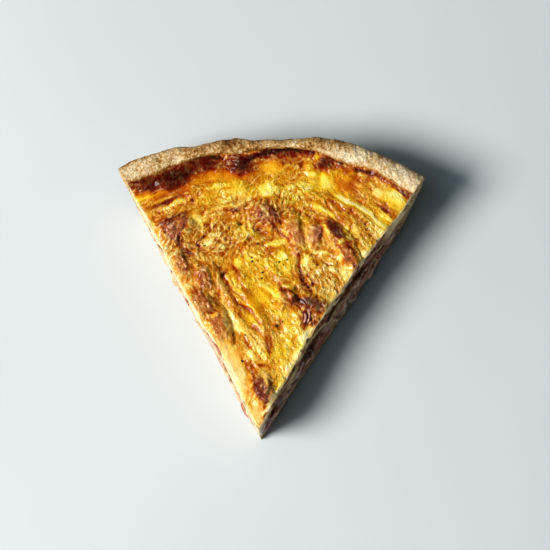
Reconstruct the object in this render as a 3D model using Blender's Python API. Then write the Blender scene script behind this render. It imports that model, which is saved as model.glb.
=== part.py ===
"""A slice of quiche lorraine, one sixth of a round quiche, lying flat as it was cut.

The slice is a pastry case (floor, flared wall and hand-pressed rim), a layer of bacon and onion
on the floor, and a baked egg custard over it. Bacon pieces and onion petals come up through the
browned top, and more of them show at the two cut faces.

Lengths are in millimetres while shapes are worked out, and become metres in the meshes. A place on
the slice is (x, y): x across to the right, y from the tip towards the rim, along the middle line.
Seen from above, the tip is at -Y and the rim at +Y. The slice stands on z = 0.
"""

import math
from functools import partial

import bmesh
import bpy
from mathutils import Matrix, Vector, noise

MM = 0.001
SHARP_FROM = math.radians(40.0)  # an edge that turns more than this is shaded as a sharp one
FLAT_WITHIN = math.radians(0.2)  # faces that turn less than this lie in one plane

# The whole slice.
HALF_ANGLE = math.radians(30.7)
TIP_BACK = 66.1  # from the tip to the middle of the slice, which is the origin
GAP = 0.3  # clear space between neighbouring pieces
WALL_GAP = 0.5  # between the filling and the curved pastry wall, whose facets differ
POCKET_GAP = 0.35  # between a piece and the pocket it sits in

# The pastry case.
FLOOR_REACH = 117.0
FLOOR_THICK = 4.0
WALL_THICK = 5.0
HEEL_ROUND = 2.6
LIP_ROUND = 2.8  # how far the lip bulges past the wall under it
LIP_UNDER_Z = 24.0
LIP_SIDE_Z = 30.0
INNER_EDGE_Z = 32.3
RIM_ARCH = 3.0
RIM_ROUGH = 0.35
RIM_LUMPS = 0.56  # the finger marks along the rim's top, which are coarser than its grain
KNEAD_FROM = 4.0  # the wall is smooth below this height, where the tin shaped it
KNEAD_FULL = 20.0
# The rim as fingers pressed it: angle from the middle line in degrees, reach from the tip, width.
RIM_PRESSES = (
    (-30.7, 133.4, 7.9),
    (-27.5, 134.0, 10.4),
    (-24.0, 133.0, 9.8),
    (-19.5, 132.5, 8.6),
    (-14.5, 130.6, 5.8),
    (-10.5, 131.3, 6.6),
    (-7.0, 131.5, 8.4),
    (-3.5, 130.1, 5.2),
    (1.0, 130.4, 4.5),
    (5.0, 131.8, 5.0),
    (9.0, 134.0, 7.2),
    (15.0, 134.9, 10.1),
    (21.5, 134.6, 8.4),
    (26.0, 134.6, 9.6),
    (30.7, 134.7, 9.4),
)

# The filling.
FILLING_TIP = 0.9  # the filling starts this far behind the pastry's point
LAYER_TOP = 16.5
LAYER_WAVE = 1.8
CUSTARD_EDGE = 31.2
CUSTARD_MIDDLE = 30.2
CUSTARD_TIP = 29.2
TIP_END = 45.0  # distance from the tip at which the middle height is reached
EDGE_START = 85.0  # from here the skin climbs to the pastry
EDGE_END = 122.0
SKIN_ROUGH = 0.45
SKIN_FADE = (114.0, 121.0)  # the folds and fine lumps die out where the skin meets the rim
MOUND_HEIGHT = 1.1  # the skin rises this much over each buried piece
MOUND_SHARE = 0.62
MOUND_MARGIN = 1.5

# How far the knife's cut leans in at the top, by side, and where along the slice it does.
LEANS = (
    # side, inset at the top, distance from the tip, half length
    (1, 3.7, 55.0, 36.0),
    (1, 1.3, 92.0, 20.0),
    (-1, 1.8, 34.0, 22.0),
    (-1, 1.0, 102.0, 16.0),
)
LEAN_START = 18.0  # nearer the tip than this the cut stands straighter
CUT_RIPPLE = 0.4
CUT_RIPPLE_LENGTH = 8.0
CUT_SPAN = 3.0  # a piece is sliced along the plane that fits the cut over this length

# Hollows that the knife opened in the filling: side, distance from the tip, height, radius.
HOLLOWS = (
    (1, 64.0, 20.5, 3.4),
    (1, 15.5, 18.0, 2.6),
    (-1, 84.0, 21.0, 2.6),
)
HOLLOW_DEPTH = 2.0
HOLLOW_FLAT = 0.35  # the share of the radius that is as deep as that
HOLLOW_END = 1.2

# Every lardon's form.
SQUARENESS = 3.4  # of its corners: 2 is an egg, more is nearer a block
LUMPINESS = 0.14  # the share by which it swells and shrinks
LUMPS_ACROSS = 1.3

# Bacon in the top: name, x, y, length, width, height, turn in degrees, how proud it stands.
TOP_BACON = (
    ("bacon_top_left", -40.8, 89.4, 12.0, 9.0, 7.0, 22.0, 1.5),
    ("bacon_top_middle", -0.6, 96.6, 10.5, 7.0, 6.0, -38.0, 1.3),
    ("bacon_top_upright", 12.6, 88.4, 11.0, 5.0, 6.0, -66.0, 1.1),
    ("bacon_top_pink", 20.8, 87.9, 8.4, 6.8, 6.0, 64.0, 1.4),
    ("bacon_top_dark", 30.6, 88.4, 11.0, 5.4, 6.0, -46.0, 1.2),
    ("bacon_top_side", 37.2, 77.8, 11.0, 5.0, 5.5, -58.0, 0.9),
    ("bacon_top_edge", -37.4, 72.2, 10.0, 5.0, 5.5, -62.0, 0.8),
    ("bacon_top_narrow", -26.8, 66.6, 9.6, 5.2, 6.0, -76.0, 1.2),
    ("bacon_top_long", -27.6, 55.0, 10.6, 6.4, 6.5, -52.0, 1.5),
    ("bacon_top_low", -19.4, 44.6, 11.4, 6.8, 6.5, -66.0, 1.5),
    ("bacon_top_dome", 10.0, 58.8, 6.8, 6.2, 5.5, 10.0, 1.1),
    ("bacon_top_streak", 22.8, 56.6, 10.8, 4.4, 5.5, -20.0, 1.3),
    ("bacon_top_tip", 2.2, 17.4, 12.0, 8.2, 6.5, -62.0, 1.5),
)

# Onion petals in the top: name, x, y, arc radius, arc middle in degrees, half arc, how proud.
TOP_ONION = (
    ("onion_top_outer", 15.6, 51.2, 4.9, 0.0, 36.0, 1.3),
    ("onion_top_inner", 15.6, 50.4, 3.2, 0.0, 42.0, 1.2),
)
PETAL_THICK = 1.2
PETAL_DEEP = 6.0
PETAL_STEPS = 7
PETAL_THINNING = 0.35  # the share of its thickness that a petal loses at its ends
PETAL_SHORTENING = 0.25
PETAL_CORNER = 0.8  # where the rounding of a petal's edge starts, as a share of its depth

# Bacon at the cut faces: name, side, distance from the tip, height, length, width, deep, turn,
# and how far it stands out of the cut.
CUT_BACON = (
    ("bacon_right_rim", 1, 103.0, 10.4, 15.0, 7.4, 9.0, 8.0, 0.5),
    ("bacon_right_back", 1, 84.5, 10.2, 12.0, 8.2, 9.0, -12.0, 1.4),
    ("bacon_right_middle", 1, 51.5, 11.0, 14.0, 6.6, 9.0, 12.0, 0.6),
    ("bacon_right_front", 1, 38.5, 8.8, 9.5, 6.4, 8.0, -8.0, 0.4),
    ("bacon_right_tip", 1, 13.0, 10.6, 8.0, 5.8, 5.0, 8.0, 0.5),
    ("bacon_right_high", 1, 92.5, 23.4, 10.0, 5.2, 8.0, 14.0, 0.5),
    ("bacon_left_rim", -1, 100.5, 10.6, 13.0, 7.8, 9.0, -10.0, 0.5),
    ("bacon_left_back", -1, 75.0, 9.8, 15.0, 6.6, 9.0, 6.0, 0.7),
    ("bacon_left_middle", -1, 55.5, 10.4, 10.5, 8.0, 9.0, -14.0, 0.5),
    ("bacon_left_front", -1, 37.5, 9.8, 12.5, 6.2, 8.0, 9.0, 0.5),
    ("bacon_left_tip", -1, 13.0, 11.4, 8.5, 3.4, 6.0, -6.0, 2.2),
    ("bacon_left_high", -1, 45.5, 22.6, 10.5, 5.4, 8.0, -7.0, 0.5),
)

# Onion petals at the cut faces: name, side, distance from the tip, height, arc radius, middle.
CUT_ONION = (
    ("onion_right_back", 1, 68.0, 8.0, 5.6, 84.0),
    ("onion_right_front", 1, 25.5, 8.2, 5.0, 96.0),
    ("onion_left_back", -1, 88.0, 7.8, 5.2, 92.0),
    ("onion_left_front", -1, 24.5, 8.4, 4.8, 84.0),
)
CUT_PETAL_ARC = 62.0
CUT_PETAL_DEEP = 8.0
ARC_DROP = 0.45  # a cut petal's centre lies this share of its radius under the height above
SUNK_SHARE = 0.25  # of a piece's depth: how far its middle lies behind the cut
EDGE_PROUD = 0.5  # how far any other piece stands out of a cut

# Folds in the baked skin: height, then the points that each one runs through.
FOLDS = (
    (0.9, ((-46, 92), (-27, 97), (-5, 101), (14, 103), (30, 99), (44, 90))),
    (1.0, ((12, 108), (30, 103), (45, 96), (54, 89))),
    (0.8, ((-24, 72), (-19, 62), (-13, 54), (-9, 46))),
    (0.8, ((-12, 70), (-8, 60), (-2, 52), (2, 42), (3, 32))),
    (-0.9, ((-12, 92), (2, 88), (12, 83), (19, 79), (27, 76))),
    (-0.8, ((15, 80), (17, 72), (19, 64))),
    (-0.9, ((-24, 62), (-17, 54), (-13, 46))),
    (0.7, ((3, 72), (9, 64), (14, 54), (17, 44))),
    (0.8, ((33, 84), (40, 74), (43, 68))),
    (0.7, ((-56, 98), (-44, 103), (-30, 106), (-12, 108))),
)
FOLD_HALF_WIDTH = 2.4


def smooth_step(value, start, end):
    """0 before start, 1 after end, and a smooth rise between them."""
    t = min(1.0, max(0.0, (value - start) / (end - start)))
    return t * t * (3.0 - 2.0 * t)


def grain(x, y, seed, length):
    """Even noise from -1 to 1 over a surface, whose lumps are about this long."""
    return noise.noise(Vector((x / length, y / length, seed / length)))


# The cut faces.


def lean(side, r, z):
    """How far the cut face lies inside the straight cut, in millimetres."""
    top_inset = sum(
        inset * math.exp(-(((r - middle) / half) ** 2))
        for where, inset, middle, half in LEANS
        if where == side
    )
    ripple = CUT_RIPPLE * grain(r + 40.0 * side, z, seed=7.0 * side, length=CUT_RIPPLE_LENGTH)
    past_tip = smooth_step(r, 0.0, LEAN_START)
    return past_tip * (top_inset * z / CUSTARD_EDGE + ripple)


def hollow(side, r, z):
    """How deep the knife's hollows go into the filling here."""
    depth = 0.0
    for where, middle, height, radius in HOLLOWS:
        if where == side:
            away = math.hypot(r - middle, z - height) / radius
            depth += HOLLOW_DEPTH * (1.0 - smooth_step(away, HOLLOW_FLAT, HOLLOW_END))
    return depth


def cut_angle(side, r, z, inset=0.0):
    """The angle from the middle line at which the cut face stands."""
    return side * (HALF_ANGLE - (lean(side, r, z) + inset) / max(r, 1.0))


def angle_of(u, r, z, hollows=False):
    """The angle of the share u across the slice, from -1 at the left cut to 1 at the right."""
    left_inset = hollow(-1, r, z) if hollows else 0.0
    right_inset = hollow(1, r, z) if hollows else 0.0
    left = cut_angle(-1, r, z, left_inset)
    right = cut_angle(1, r, z, right_inset)
    return left + (right - left) * (u + 1.0) / 2.0


def polar(angle, r, z):
    """A place on the slice as (x, y, z) in millimetres, y counted from the tip."""
    return r * math.sin(angle), r * math.cos(angle), z


# The rim.


def rim_at(angle):
    """(reach, width) of the rim at this angle, smooth between the finger presses."""
    degrees = math.degrees(angle)
    presses = RIM_PRESSES
    if degrees <= presses[0][0]:
        return presses[0][1:]
    for (a, reach_a, width_a), (b, reach_b, width_b) in zip(presses, presses[1:]):
        if degrees <= b:
            t = smooth_step(degrees, a, b)
            return reach_a + (reach_b - reach_a) * t, width_a + (width_b - width_a) * t
    return presses[-1][1:]


def inner_reach(angle, z):
    """Distance from the tip to the inside of the pastry wall, which is straight in section."""
    reach, width = rim_at(angle)
    foot = FLOOR_REACH - WALL_THICK
    rise = (z - FLOOR_THICK) / (INNER_EDGE_Z - FLOOR_THICK)
    return foot + (reach - width - foot) * rise


# The filling's surfaces.


def distance_to_path(x, y, path):
    """Distance from a place to a chain of straight runs."""
    here = Vector((x, y))
    nearest = 1e9
    for start, end in zip(path, path[1:]):
        a = Vector(start)
        run = Vector(end) - a
        t = min(1.0, max(0.0, (here - a).dot(run) / run.length_squared))
        nearest = min(nearest, (here - a - run * t).length)
    return nearest


def custard_top(x, y):
    """Height of the baked skin: dished, with a mound over each buried piece, and folds."""
    r = math.hypot(x, y)
    z = CUSTARD_TIP + (CUSTARD_MIDDLE - CUSTARD_TIP) * smooth_step(r, 0.0, TIP_END)
    z += (CUSTARD_EDGE - CUSTARD_MIDDLE) * smooth_step(r, EDGE_START, EDGE_END)
    for _, px, py, length, width, _, _, _ in TOP_BACON:
        mound = MOUND_SHARE * (length + width) / 2.0 + MOUND_MARGIN
        away = math.hypot(x - px, y - py) / mound
        z += MOUND_HEIGHT * math.exp(-away * away)
    clear_of_rim = 1.0 - smooth_step(r, *SKIN_FADE)
    for height, path in FOLDS:
        away = distance_to_path(x, y, path) / FOLD_HALF_WIDTH
        z += clear_of_rim * height * math.exp(-away * away)
    z += SKIN_ROUGH * clear_of_rim * grain(x, y, seed=3.0, length=6.0)
    z += SKIN_ROUGH * grain(x, y, seed=11.0, length=17.0)
    return z


def layer_top(x, y):
    """Height of the uneven top of the bacon and onion layer."""
    return LAYER_TOP + LAYER_WAVE * grain(x, y, seed=21.0, length=15.0)


# Meshes.


def new_object(name, bm, material):
    """A scene object from a closed mesh in slice millimetres."""
    bmesh.ops.recalc_face_normals(bm, faces=bm.faces)
    to_frame = Matrix.Scale(MM, 4) @ Matrix.Translation((0.0, -TIP_BACK, 0.0))
    bmesh.ops.transform(bm, matrix=to_frame, verts=bm.verts)
    mesh = bpy.data.meshes.new(name)
    bm.to_mesh(mesh)
    bm.free()
    mesh.materials.append(material)
    mesh.shade_smooth()
    mesh.set_sharp_from_angle(angle=SHARP_FROM)
    made = bpy.data.objects.new(name, mesh)
    bpy.context.scene.collection.objects.link(made)
    return made


def wedge_mesh(rows, levels, place, skip=1):
    """A closed wedge whose row i holds i + 1 points, so its triangles stay even to the tip.

    place(level, i, u) gives a point. Level 0 takes only every skip-th row and column.
    """
    bm = bmesh.new()
    points = {}

    def point(level, i, j):
        key = (level, i, j)
        if key not in points:
            u = 2.0 * j / i - 1.0 if i else 0.0
            points[key] = bm.verts.new(place(level, i, u))
        return points[key]

    def sheet(level, step):
        for i in range(0, rows, step):
            for j in range(0, i + 1, step):
                a = point(level, i, j)
                b = point(level, i + step, j)
                c = point(level, i + step, j + step)
                bm.faces.new((a, c, b))
                if j < i:
                    bm.faces.new((a, point(level, i, j + step), c))

    def band(level, step, where):
        """The side between two levels, along one edge of the wedge."""
        for start in range(0, rows, step):
            low = [point(level, *where(start)), point(level, *where(start + step))]
            high = [point(level + 1, *where(n)) for n in range(start, start + step + 1)]
            bm.faces.new(low + high[::-1])

    sheet(0, skip)
    sheet(levels, 1)
    for level in range(levels):
        step = skip if level == 0 else 1
        band(level, step, lambda n: (n, 0))
        band(level, step, lambda n: (n, n))
        band(level, step, lambda n: (rows, n))
    bmesh.ops.triangulate(bm, faces=bm.faces)
    return bm


def merge_flat_faces(bm):
    """Joins the faces that lie in one plane, such as the underside."""
    bmesh.ops.dissolve_limit(
        bm, angle_limit=FLAT_WITHIN, verts=bm.verts, edges=bm.edges
    )
    bmesh.ops.triangulate(bm, faces=bm.faces)


def pastry_case(material):
    """Floor, flared wall and rim in one sheet of pastry, bent up at the heel."""
    floor_rows, heel_rows, side_rows, lip_rows = 30, 2, 5, 3
    wall_rows = heel_rows + side_rows + lip_rows
    rows = floor_rows + wall_rows
    levels = 4
    heel = FLOOR_REACH - HEEL_ROUND

    def under(i, angle):
        """Outside of the pastry: along the floor, round the heel, up the wall to the lip."""
        if i <= floor_rows:
            return heel * i / floor_rows, 0.0
        step = i - floor_rows
        if step <= heel_rows:
            turn = math.pi / 2.0 * step / heel_rows
            r = heel + HEEL_ROUND * math.sin(turn)
            return r, HEEL_ROUND * (1.0 - math.cos(turn))
        reach, _ = rim_at(angle)
        wall_top = reach - LIP_ROUND
        step -= heel_rows
        if step <= side_rows:
            t = step / side_rows
            r = FLOOR_REACH + (wall_top - FLOOR_REACH) * t
            return r, HEEL_ROUND + (LIP_UNDER_Z - HEEL_ROUND) * t
        turn = math.pi / 2.0 * (step - side_rows) / lip_rows
        r = reach - LIP_ROUND * math.cos(turn)
        return r, LIP_UNDER_Z + (LIP_SIDE_Z - LIP_UNDER_Z) * math.sin(turn)

    def upper(i, angle):
        """Inside of the pastry: along the floor and straight up to the custard's edge."""
        foot = FLOOR_REACH - WALL_THICK
        if i <= floor_rows:
            return foot * i / floor_rows, FLOOR_THICK
        t = (i - floor_rows) / wall_rows
        z = FLOOR_THICK + (INNER_EDGE_Z - FLOOR_THICK) * t
        return inner_reach(angle, z), z

    def place(level, i, u):
        t = level / levels
        angle = angle_of(u, FLOOR_REACH * i / rows, FLOOR_THICK * t)
        r, z = 0.0, 0.0
        for _ in range(2):
            under_r, under_z = under(i, angle)
            upper_r, upper_z = upper(i, angle)
            r = under_r + (upper_r - under_r) * t
            z = under_z + (upper_z - under_z) * t
            if i == rows:
                turn = math.pi * t
                half = (under_r - upper_r) / 2.0
                r = (under_r + upper_r) / 2.0 + half * math.cos(turn)
                z += RIM_ARCH * math.sin(turn)
            angle = angle_of(u, r, z)
        if i > floor_rows + heel_rows and level < levels:
            knead = smooth_step(z, KNEAD_FROM, KNEAD_FULL)
            around = r * angle
            r += RIM_ROUGH * knead * grain(around, z, seed=5.0, length=5.0)
            if i == rows:
                z += RIM_LUMPS * knead * grain(around, z, seed=17.0, length=9.0)
        return polar(angle, r, z)

    bm = wedge_mesh(rows, levels, place)
    merge_flat_faces(bm)
    return new_object("crust", bm, material)


def filling_reach(angle, z):
    """Where the filling ends, just inside the pastry wall."""
    return inner_reach(angle, z) - WALL_GAP


def filling_place(i, rows, u, find_z, start_z):
    """A point of the filling: row i of rows, the share u across, at the height that find_z gives."""
    z = start_z
    share = i / rows
    r = FILLING_TIP + share * (FLOOR_REACH - FILLING_TIP)
    angle = angle_of(u, r, z, True)
    for _ in range(3):
        r = FILLING_TIP + share * (filling_reach(angle, z) - FILLING_TIP)
        angle = angle_of(u, r, z, True)
        x, y, _ = polar(angle, r, z)
        z = find_z(x, y)
    return polar(angle, r, z)


LAYER_ROWS = 17
CUSTARD_FINENESS = 3  # rows of the custard's top to one row of the layer under it


def bacon_onion_layer(material):
    """The layer that lies on the pastry floor and runs through the slice."""
    levels = 3

    def place(level, i, u):
        low = FLOOR_THICK + GAP
        share = level / levels

        def find_z(x, y):
            return low + (layer_top(x, y) - low) * share

        return filling_place(i, LAYER_ROWS, u, find_z, low)

    bm = wedge_mesh(LAYER_ROWS, levels, place)
    merge_flat_faces(bm)
    return new_object("bacon_onion_layer", bm, material)


def custard(material):
    """The baked egg custard, from the layer's top to the browned skin."""
    levels = 4
    rows = LAYER_ROWS * CUSTARD_FINENESS

    def place(level, i, u):
        share = level / levels

        def find_z(x, y):
            low = layer_top(x, y) + GAP
            return low + (custard_top(x, y) - low) * share

        start_z = LAYER_TOP + (CUSTARD_MIDDLE - LAYER_TOP) * share
        return filling_place(i, rows, u, find_z, start_z)

    bm = wedge_mesh(rows, levels, place, skip=CUSTARD_FINENESS)
    return new_object("custard", bm, material)


# Bacon and onion pieces. Each is made twice: as itself, and grown by the gap to cut its pocket.


def cut_plane(side, r, z):
    """A point of the cut face, and the direction straight out of the slice there."""

    def on_face(r, z):
        return Vector(polar(cut_angle(side, r, z), r, z))

    here = on_face(r, z)
    along = on_face(r + CUT_SPAN, z) - here
    up = on_face(r, z + CUT_SPAN) - here
    return here, along.cross(up).normalized() * side


def slice_at_cuts(bm, r, z, proud):
    """Slices a piece flat, as the knife did, a little outside each cut face."""
    for side in (-1, 1):
        here, out = cut_plane(side, r, z)
        sliced = bmesh.ops.bisect_plane(
            bm,
            geom=bm.verts[:] + bm.edges[:] + bm.faces[:],
            dist=0.001,
            plane_co=here + out * proud,
            plane_no=out,
            clear_outer=True,
        )
        rim = [e for e in sliced["geom_cut"] if isinstance(e, bmesh.types.BMEdge)]
        if rim:
            bmesh.ops.contextual_create(bm, geom=rim)


def bacon_mesh(length, width, height, grow, seed, cuts):
    """A lardon: a block with soft uneven corners, long along X."""
    bm = bmesh.new()
    bmesh.ops.create_cube(bm, size=2.0)
    bmesh.ops.subdivide_edges(bm, edges=bm.edges, cuts=cuts, use_grid_fill=True)
    bmesh.ops.triangulate(bm, faces=bm.faces, quad_method="FIXED")
    half = Vector((length, width, height)) / 2.0
    for vert in bm.verts:
        spread = sum(abs(c) ** SQUARENESS for c in vert.co) ** (1.0 / SQUARENESS)
        unit = vert.co / spread
        lump = 1.0 + LUMPINESS * noise.noise(unit * LUMPS_ACROSS + Vector((0.0, 0.0, seed)))
        vert.co = unit * half * lump
        vert.co += unit * (grow / max(abs(c) for c in unit))
    return bm


def petal_mesh(radius, middle, half_arc, deep, grow):
    """An onion petal: a curved strip round Z, as deep as it stands, with rounded ends."""
    bm = bmesh.new()
    low, high = -PETAL_CORNER, PETAL_CORNER
    section = ((-1, low), (0, -1), (1, low), (1, high), (0, 1), (-1, high))
    rings = []
    for n in range(PETAL_STEPS + 1):
        along = 2.0 * n / PETAL_STEPS - 1.0
        end = along**4
        turn = math.radians(middle + half_arc * along)
        if n in (0, PETAL_STEPS):
            turn += math.copysign(grow / radius, along)
        half_thick = PETAL_THICK / 2.0 * (1.0 - PETAL_THINNING * end) + grow
        half_deep = deep / 2.0 * (1.0 - PETAL_SHORTENING * end) + grow
        ring = []
        for dr, dz in section:
            r = radius + dr * half_thick
            corner = (r * math.cos(turn), r * math.sin(turn), dz * half_deep)
            ring.append(bm.verts.new(corner))
        rings.append(ring)
    for a, b in zip(rings, rings[1:]):
        for k in range(len(section)):
            m = (k + 1) % len(section)
            bm.faces.new((a[k], a[m], b[m], b[k]))
    bm.faces.new(rings[0][::-1])
    bm.faces.new(rings[-1])
    bmesh.ops.triangulate(bm, faces=bm.faces)
    return bm


def top_bacon(spec, grow):
    """A lardon half sunk in the skin."""
    name, x, y, length, width, height, turn, proud = spec
    bm = bacon_mesh(length, width, height, grow, len(name) * 3.0 + x, cuts=2)
    z = custard_top(x, y) - height / 2.0 + proud
    move = Matrix.Translation((x, y, z)) @ Matrix.Rotation(math.radians(turn), 4, "Z")
    bmesh.ops.transform(bm, matrix=move, verts=bm.verts)
    return bm


def top_onion(spec, grow):
    """A petal that stands on its edge in the skin."""
    _, x, y, radius, middle, half_arc, proud = spec
    bm = petal_mesh(radius, middle, half_arc, PETAL_DEEP, grow)
    z = custard_top(x - radius, y) - PETAL_DEEP / 2.0 + proud
    bmesh.ops.transform(bm, matrix=Matrix.Translation((x, y, z)), verts=bm.verts)
    return bm


def face_frame(side, r, z):
    """Where a piece at a cut face sits: X along the cut, Y into the slice, Z up."""
    angle = cut_angle(side, r, z)
    x, y, _ = polar(angle, r, z)
    along = Matrix.Rotation(math.pi / 2.0 - angle, 4, "Z")
    return Matrix.Translation((x, y, z)) @ along


def cut_bacon(spec, grow):
    """A lardon that the knife cut through, its end in the cut face."""
    name, side, r, z, length, width, deep, turn, _ = spec
    bm = bacon_mesh(length, deep, width, grow, len(name) * 5.0 + r, cuts=1)
    tilt = Matrix.Rotation(math.radians(turn), 4, "Y")
    inwards = Matrix.Translation((0.0, side * deep * SUNK_SHARE, 0.0))
    bmesh.ops.transform(bm, matrix=inwards @ tilt, verts=bm.verts)
    bmesh.ops.transform(bm, matrix=face_frame(side, r, z), verts=bm.verts)
    return bm


def cut_onion(spec, grow):
    """A petal that the knife cut across, its arc showing in the cut face."""
    _, side, r, z, radius, middle = spec
    bm = petal_mesh(radius, middle, CUT_PETAL_ARC, CUT_PETAL_DEEP, grow)
    stand = Matrix.Rotation(math.radians(90.0), 4, "X")
    sunk = side * CUT_PETAL_DEEP * SUNK_SHARE
    inwards = Matrix.Translation((0.0, sunk, -radius * ARC_DROP))
    bmesh.ops.transform(bm, matrix=inwards @ stand, verts=bm.verts)
    bmesh.ops.transform(bm, matrix=face_frame(side, r, z), verts=bm.verts)
    return bm


def pocket_cutter(name, bm):
    """A helper that a Boolean cuts with. It isn't part of the slice."""
    cutter = new_object(name, bm, bpy.data.materials["custard"])
    cutter.hide_render = True
    cutter.display_type = "WIRE"
    return cutter


def inset_piece(host, name, make, r, z, proud, material):
    """Makes a piece and cuts its pocket out of the layer that it sits in."""
    piece = make(0.0)
    slice_at_cuts(piece, r, z, proud)
    new_object(name, piece, material)
    cutter = pocket_cutter("pocket_" + name, make(POCKET_GAP))
    cut = host.modifiers.new("pocket_" + name, "BOOLEAN")
    cut.operation = "DIFFERENCE"
    cut.solver = "EXACT"
    cut.object = cutter


def food_material(name, colour, roughness):
    """A plain food surface."""
    material = bpy.data.materials.new(name)
    material.use_nodes = True
    shader = material.node_tree.nodes["Principled BSDF"]
    shader.inputs["Base Color"].default_value = (*colour, 1.0)
    shader.inputs["Roughness"].default_value = roughness
    shader.inputs["Metallic"].default_value = 0.0
    return material


def clear_scene():
    for thing in list(bpy.data.objects):
        bpy.data.objects.remove(thing)


def main():
    clear_scene()
    pastry = food_material("pastry", (0.56, 0.36, 0.16), 0.8)
    egg = food_material("custard", (0.72, 0.42, 0.06), 0.45)
    filling = food_material("bacon_and_onion", (0.52, 0.36, 0.20), 0.55)
    bacon = food_material("bacon", (0.36, 0.10, 0.05), 0.45)
    onion = food_material("onion", (0.42, 0.14, 0.22), 0.4)

    pastry_case(pastry)
    layer = bacon_onion_layer(filling)
    body = custard(egg)

    for specs, make, material in (
        (TOP_BACON, top_bacon, bacon),
        (TOP_ONION, top_onion, onion),
    ):
        for spec in specs:
            name, x, y = spec[:3]
            z = custard_top(x, y)
            made_at = partial(make, spec)
            inset_piece(body, name, made_at, math.hypot(x, y), z, EDGE_PROUD, material)
    for spec in CUT_BACON:
        name, _, r, z = spec[:4]
        host = layer if z < LAYER_TOP else body
        inset_piece(host, name, partial(cut_bacon, spec), r, z, spec[-1], bacon)
    for spec in CUT_ONION:
        name, _, r, z = spec[:4]
        inset_piece(layer, name, partial(cut_onion, spec), r, z, EDGE_PROUD, onion)


main()
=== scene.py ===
# %% [markdown]
# A slice of quiche lorraine
#
# This lesson dresses a slice of quiche. The solids that give it its size are loaded first and
# never move. Every piece made here lies in the same place as the solid that it stands for, with
# the surface that a camera close by would see: wrinkled egg, browned bacon, floury pastry.
#
# A baked surface has no rule that one formula gives. So this lesson paints: it keeps flat sheets of numbers,
# one for the skin and one for each cut face, draws folds and patches on them, and lets fine meshes read
# their height and colour from those sheets.

# %% The frame and the tools
import math

import bmesh
import bpy
import numpy as np
from mathutils import Matrix, Vector, noise


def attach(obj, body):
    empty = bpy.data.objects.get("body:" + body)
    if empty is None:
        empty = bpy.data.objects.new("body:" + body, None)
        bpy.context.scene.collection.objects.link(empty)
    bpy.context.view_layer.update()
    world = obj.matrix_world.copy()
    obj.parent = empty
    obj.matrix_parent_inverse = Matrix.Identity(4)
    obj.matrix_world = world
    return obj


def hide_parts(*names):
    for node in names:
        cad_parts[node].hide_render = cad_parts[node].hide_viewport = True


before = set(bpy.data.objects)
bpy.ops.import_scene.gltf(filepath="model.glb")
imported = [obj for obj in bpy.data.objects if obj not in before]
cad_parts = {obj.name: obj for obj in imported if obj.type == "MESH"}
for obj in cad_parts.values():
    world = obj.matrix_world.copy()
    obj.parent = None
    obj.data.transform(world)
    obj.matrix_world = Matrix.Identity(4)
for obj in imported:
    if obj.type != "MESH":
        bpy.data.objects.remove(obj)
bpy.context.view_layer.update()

# %% [markdown]
# The measures of the slice
#
# All lengths are in millimetres until a mesh is made. A place on the slice is (x, y): x across,
# y from the tip to the rim. A cook would recognise these numbers: how thick the pastry is, how
# high the egg stands, how far each finger pressed the rim. They are the same as the solids' own,
# because a surface that replaces a solid has to keep its form.

# %% The measures of the slice
MM = 0.001
HALF_ANGLE = math.radians(30.7)
TIP_BACK = 66.1
FLOOR_REACH, FLOOR_THICK, WALL_THICK, HEEL_ROUND = 117.0, 4.0, 5.0, 2.6
LIP_ROUND, LIP_UNDER_Z, LIP_SIDE_Z, INNER_EDGE_Z, RIM_ARCH = 2.8, 24.0, 30.0, 32.3, 3.0
FILLING_TIP, LAYER_TOP, LAYER_WAVE = 0.9, 16.5, 1.8
CUSTARD_EDGE, CUSTARD_MIDDLE, CUSTARD_TIP = 31.2, 30.2, 29.2
TIP_END, EDGE_START, EDGE_END = 45.0, 85.0, 122.0

# Angle from the middle line in degrees, reach from the tip, width of the rim.
RIM_PRESSES = np.array(
    (
        (-30.7, 133.4, 7.9), (-27.5, 134, 10.4), (-24, 133, 9.8), (-19.5, 132.5, 8.6),
        (-14.5, 130.6, 5.8), (-10.5, 131.3, 6.6), (-7, 131.5, 8.4), (-3.5, 130.1, 5.2),
        (1, 130.4, 4.5), (5, 131.8, 5), (9, 134, 7.2), (15, 134.9, 10.1),
        (21.5, 134.6, 8.4), (26, 134.6, 9.6), (30.7, 134.7, 9.4),
    )
)
# How far the cut leans in at the top: side, inset, distance from the tip, half length.
LEANS = ((1, 3.7, 55, 36), (1, 1.3, 92, 20), (-1, 1.8, 34, 22), (-1, 1, 102, 16))
# Hollows that the knife opened: side, distance from the tip, height, radius.
HOLLOWS = ((1, 64, 20.5, 3.4), (1, 15.5, 18, 2.6), (-1, 84, 21, 2.6))
print(f"a slice of {2 * math.degrees(HALF_ANGLE):.0f} degrees with {len(HOLLOWS)} hollows in its cuts")

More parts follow.
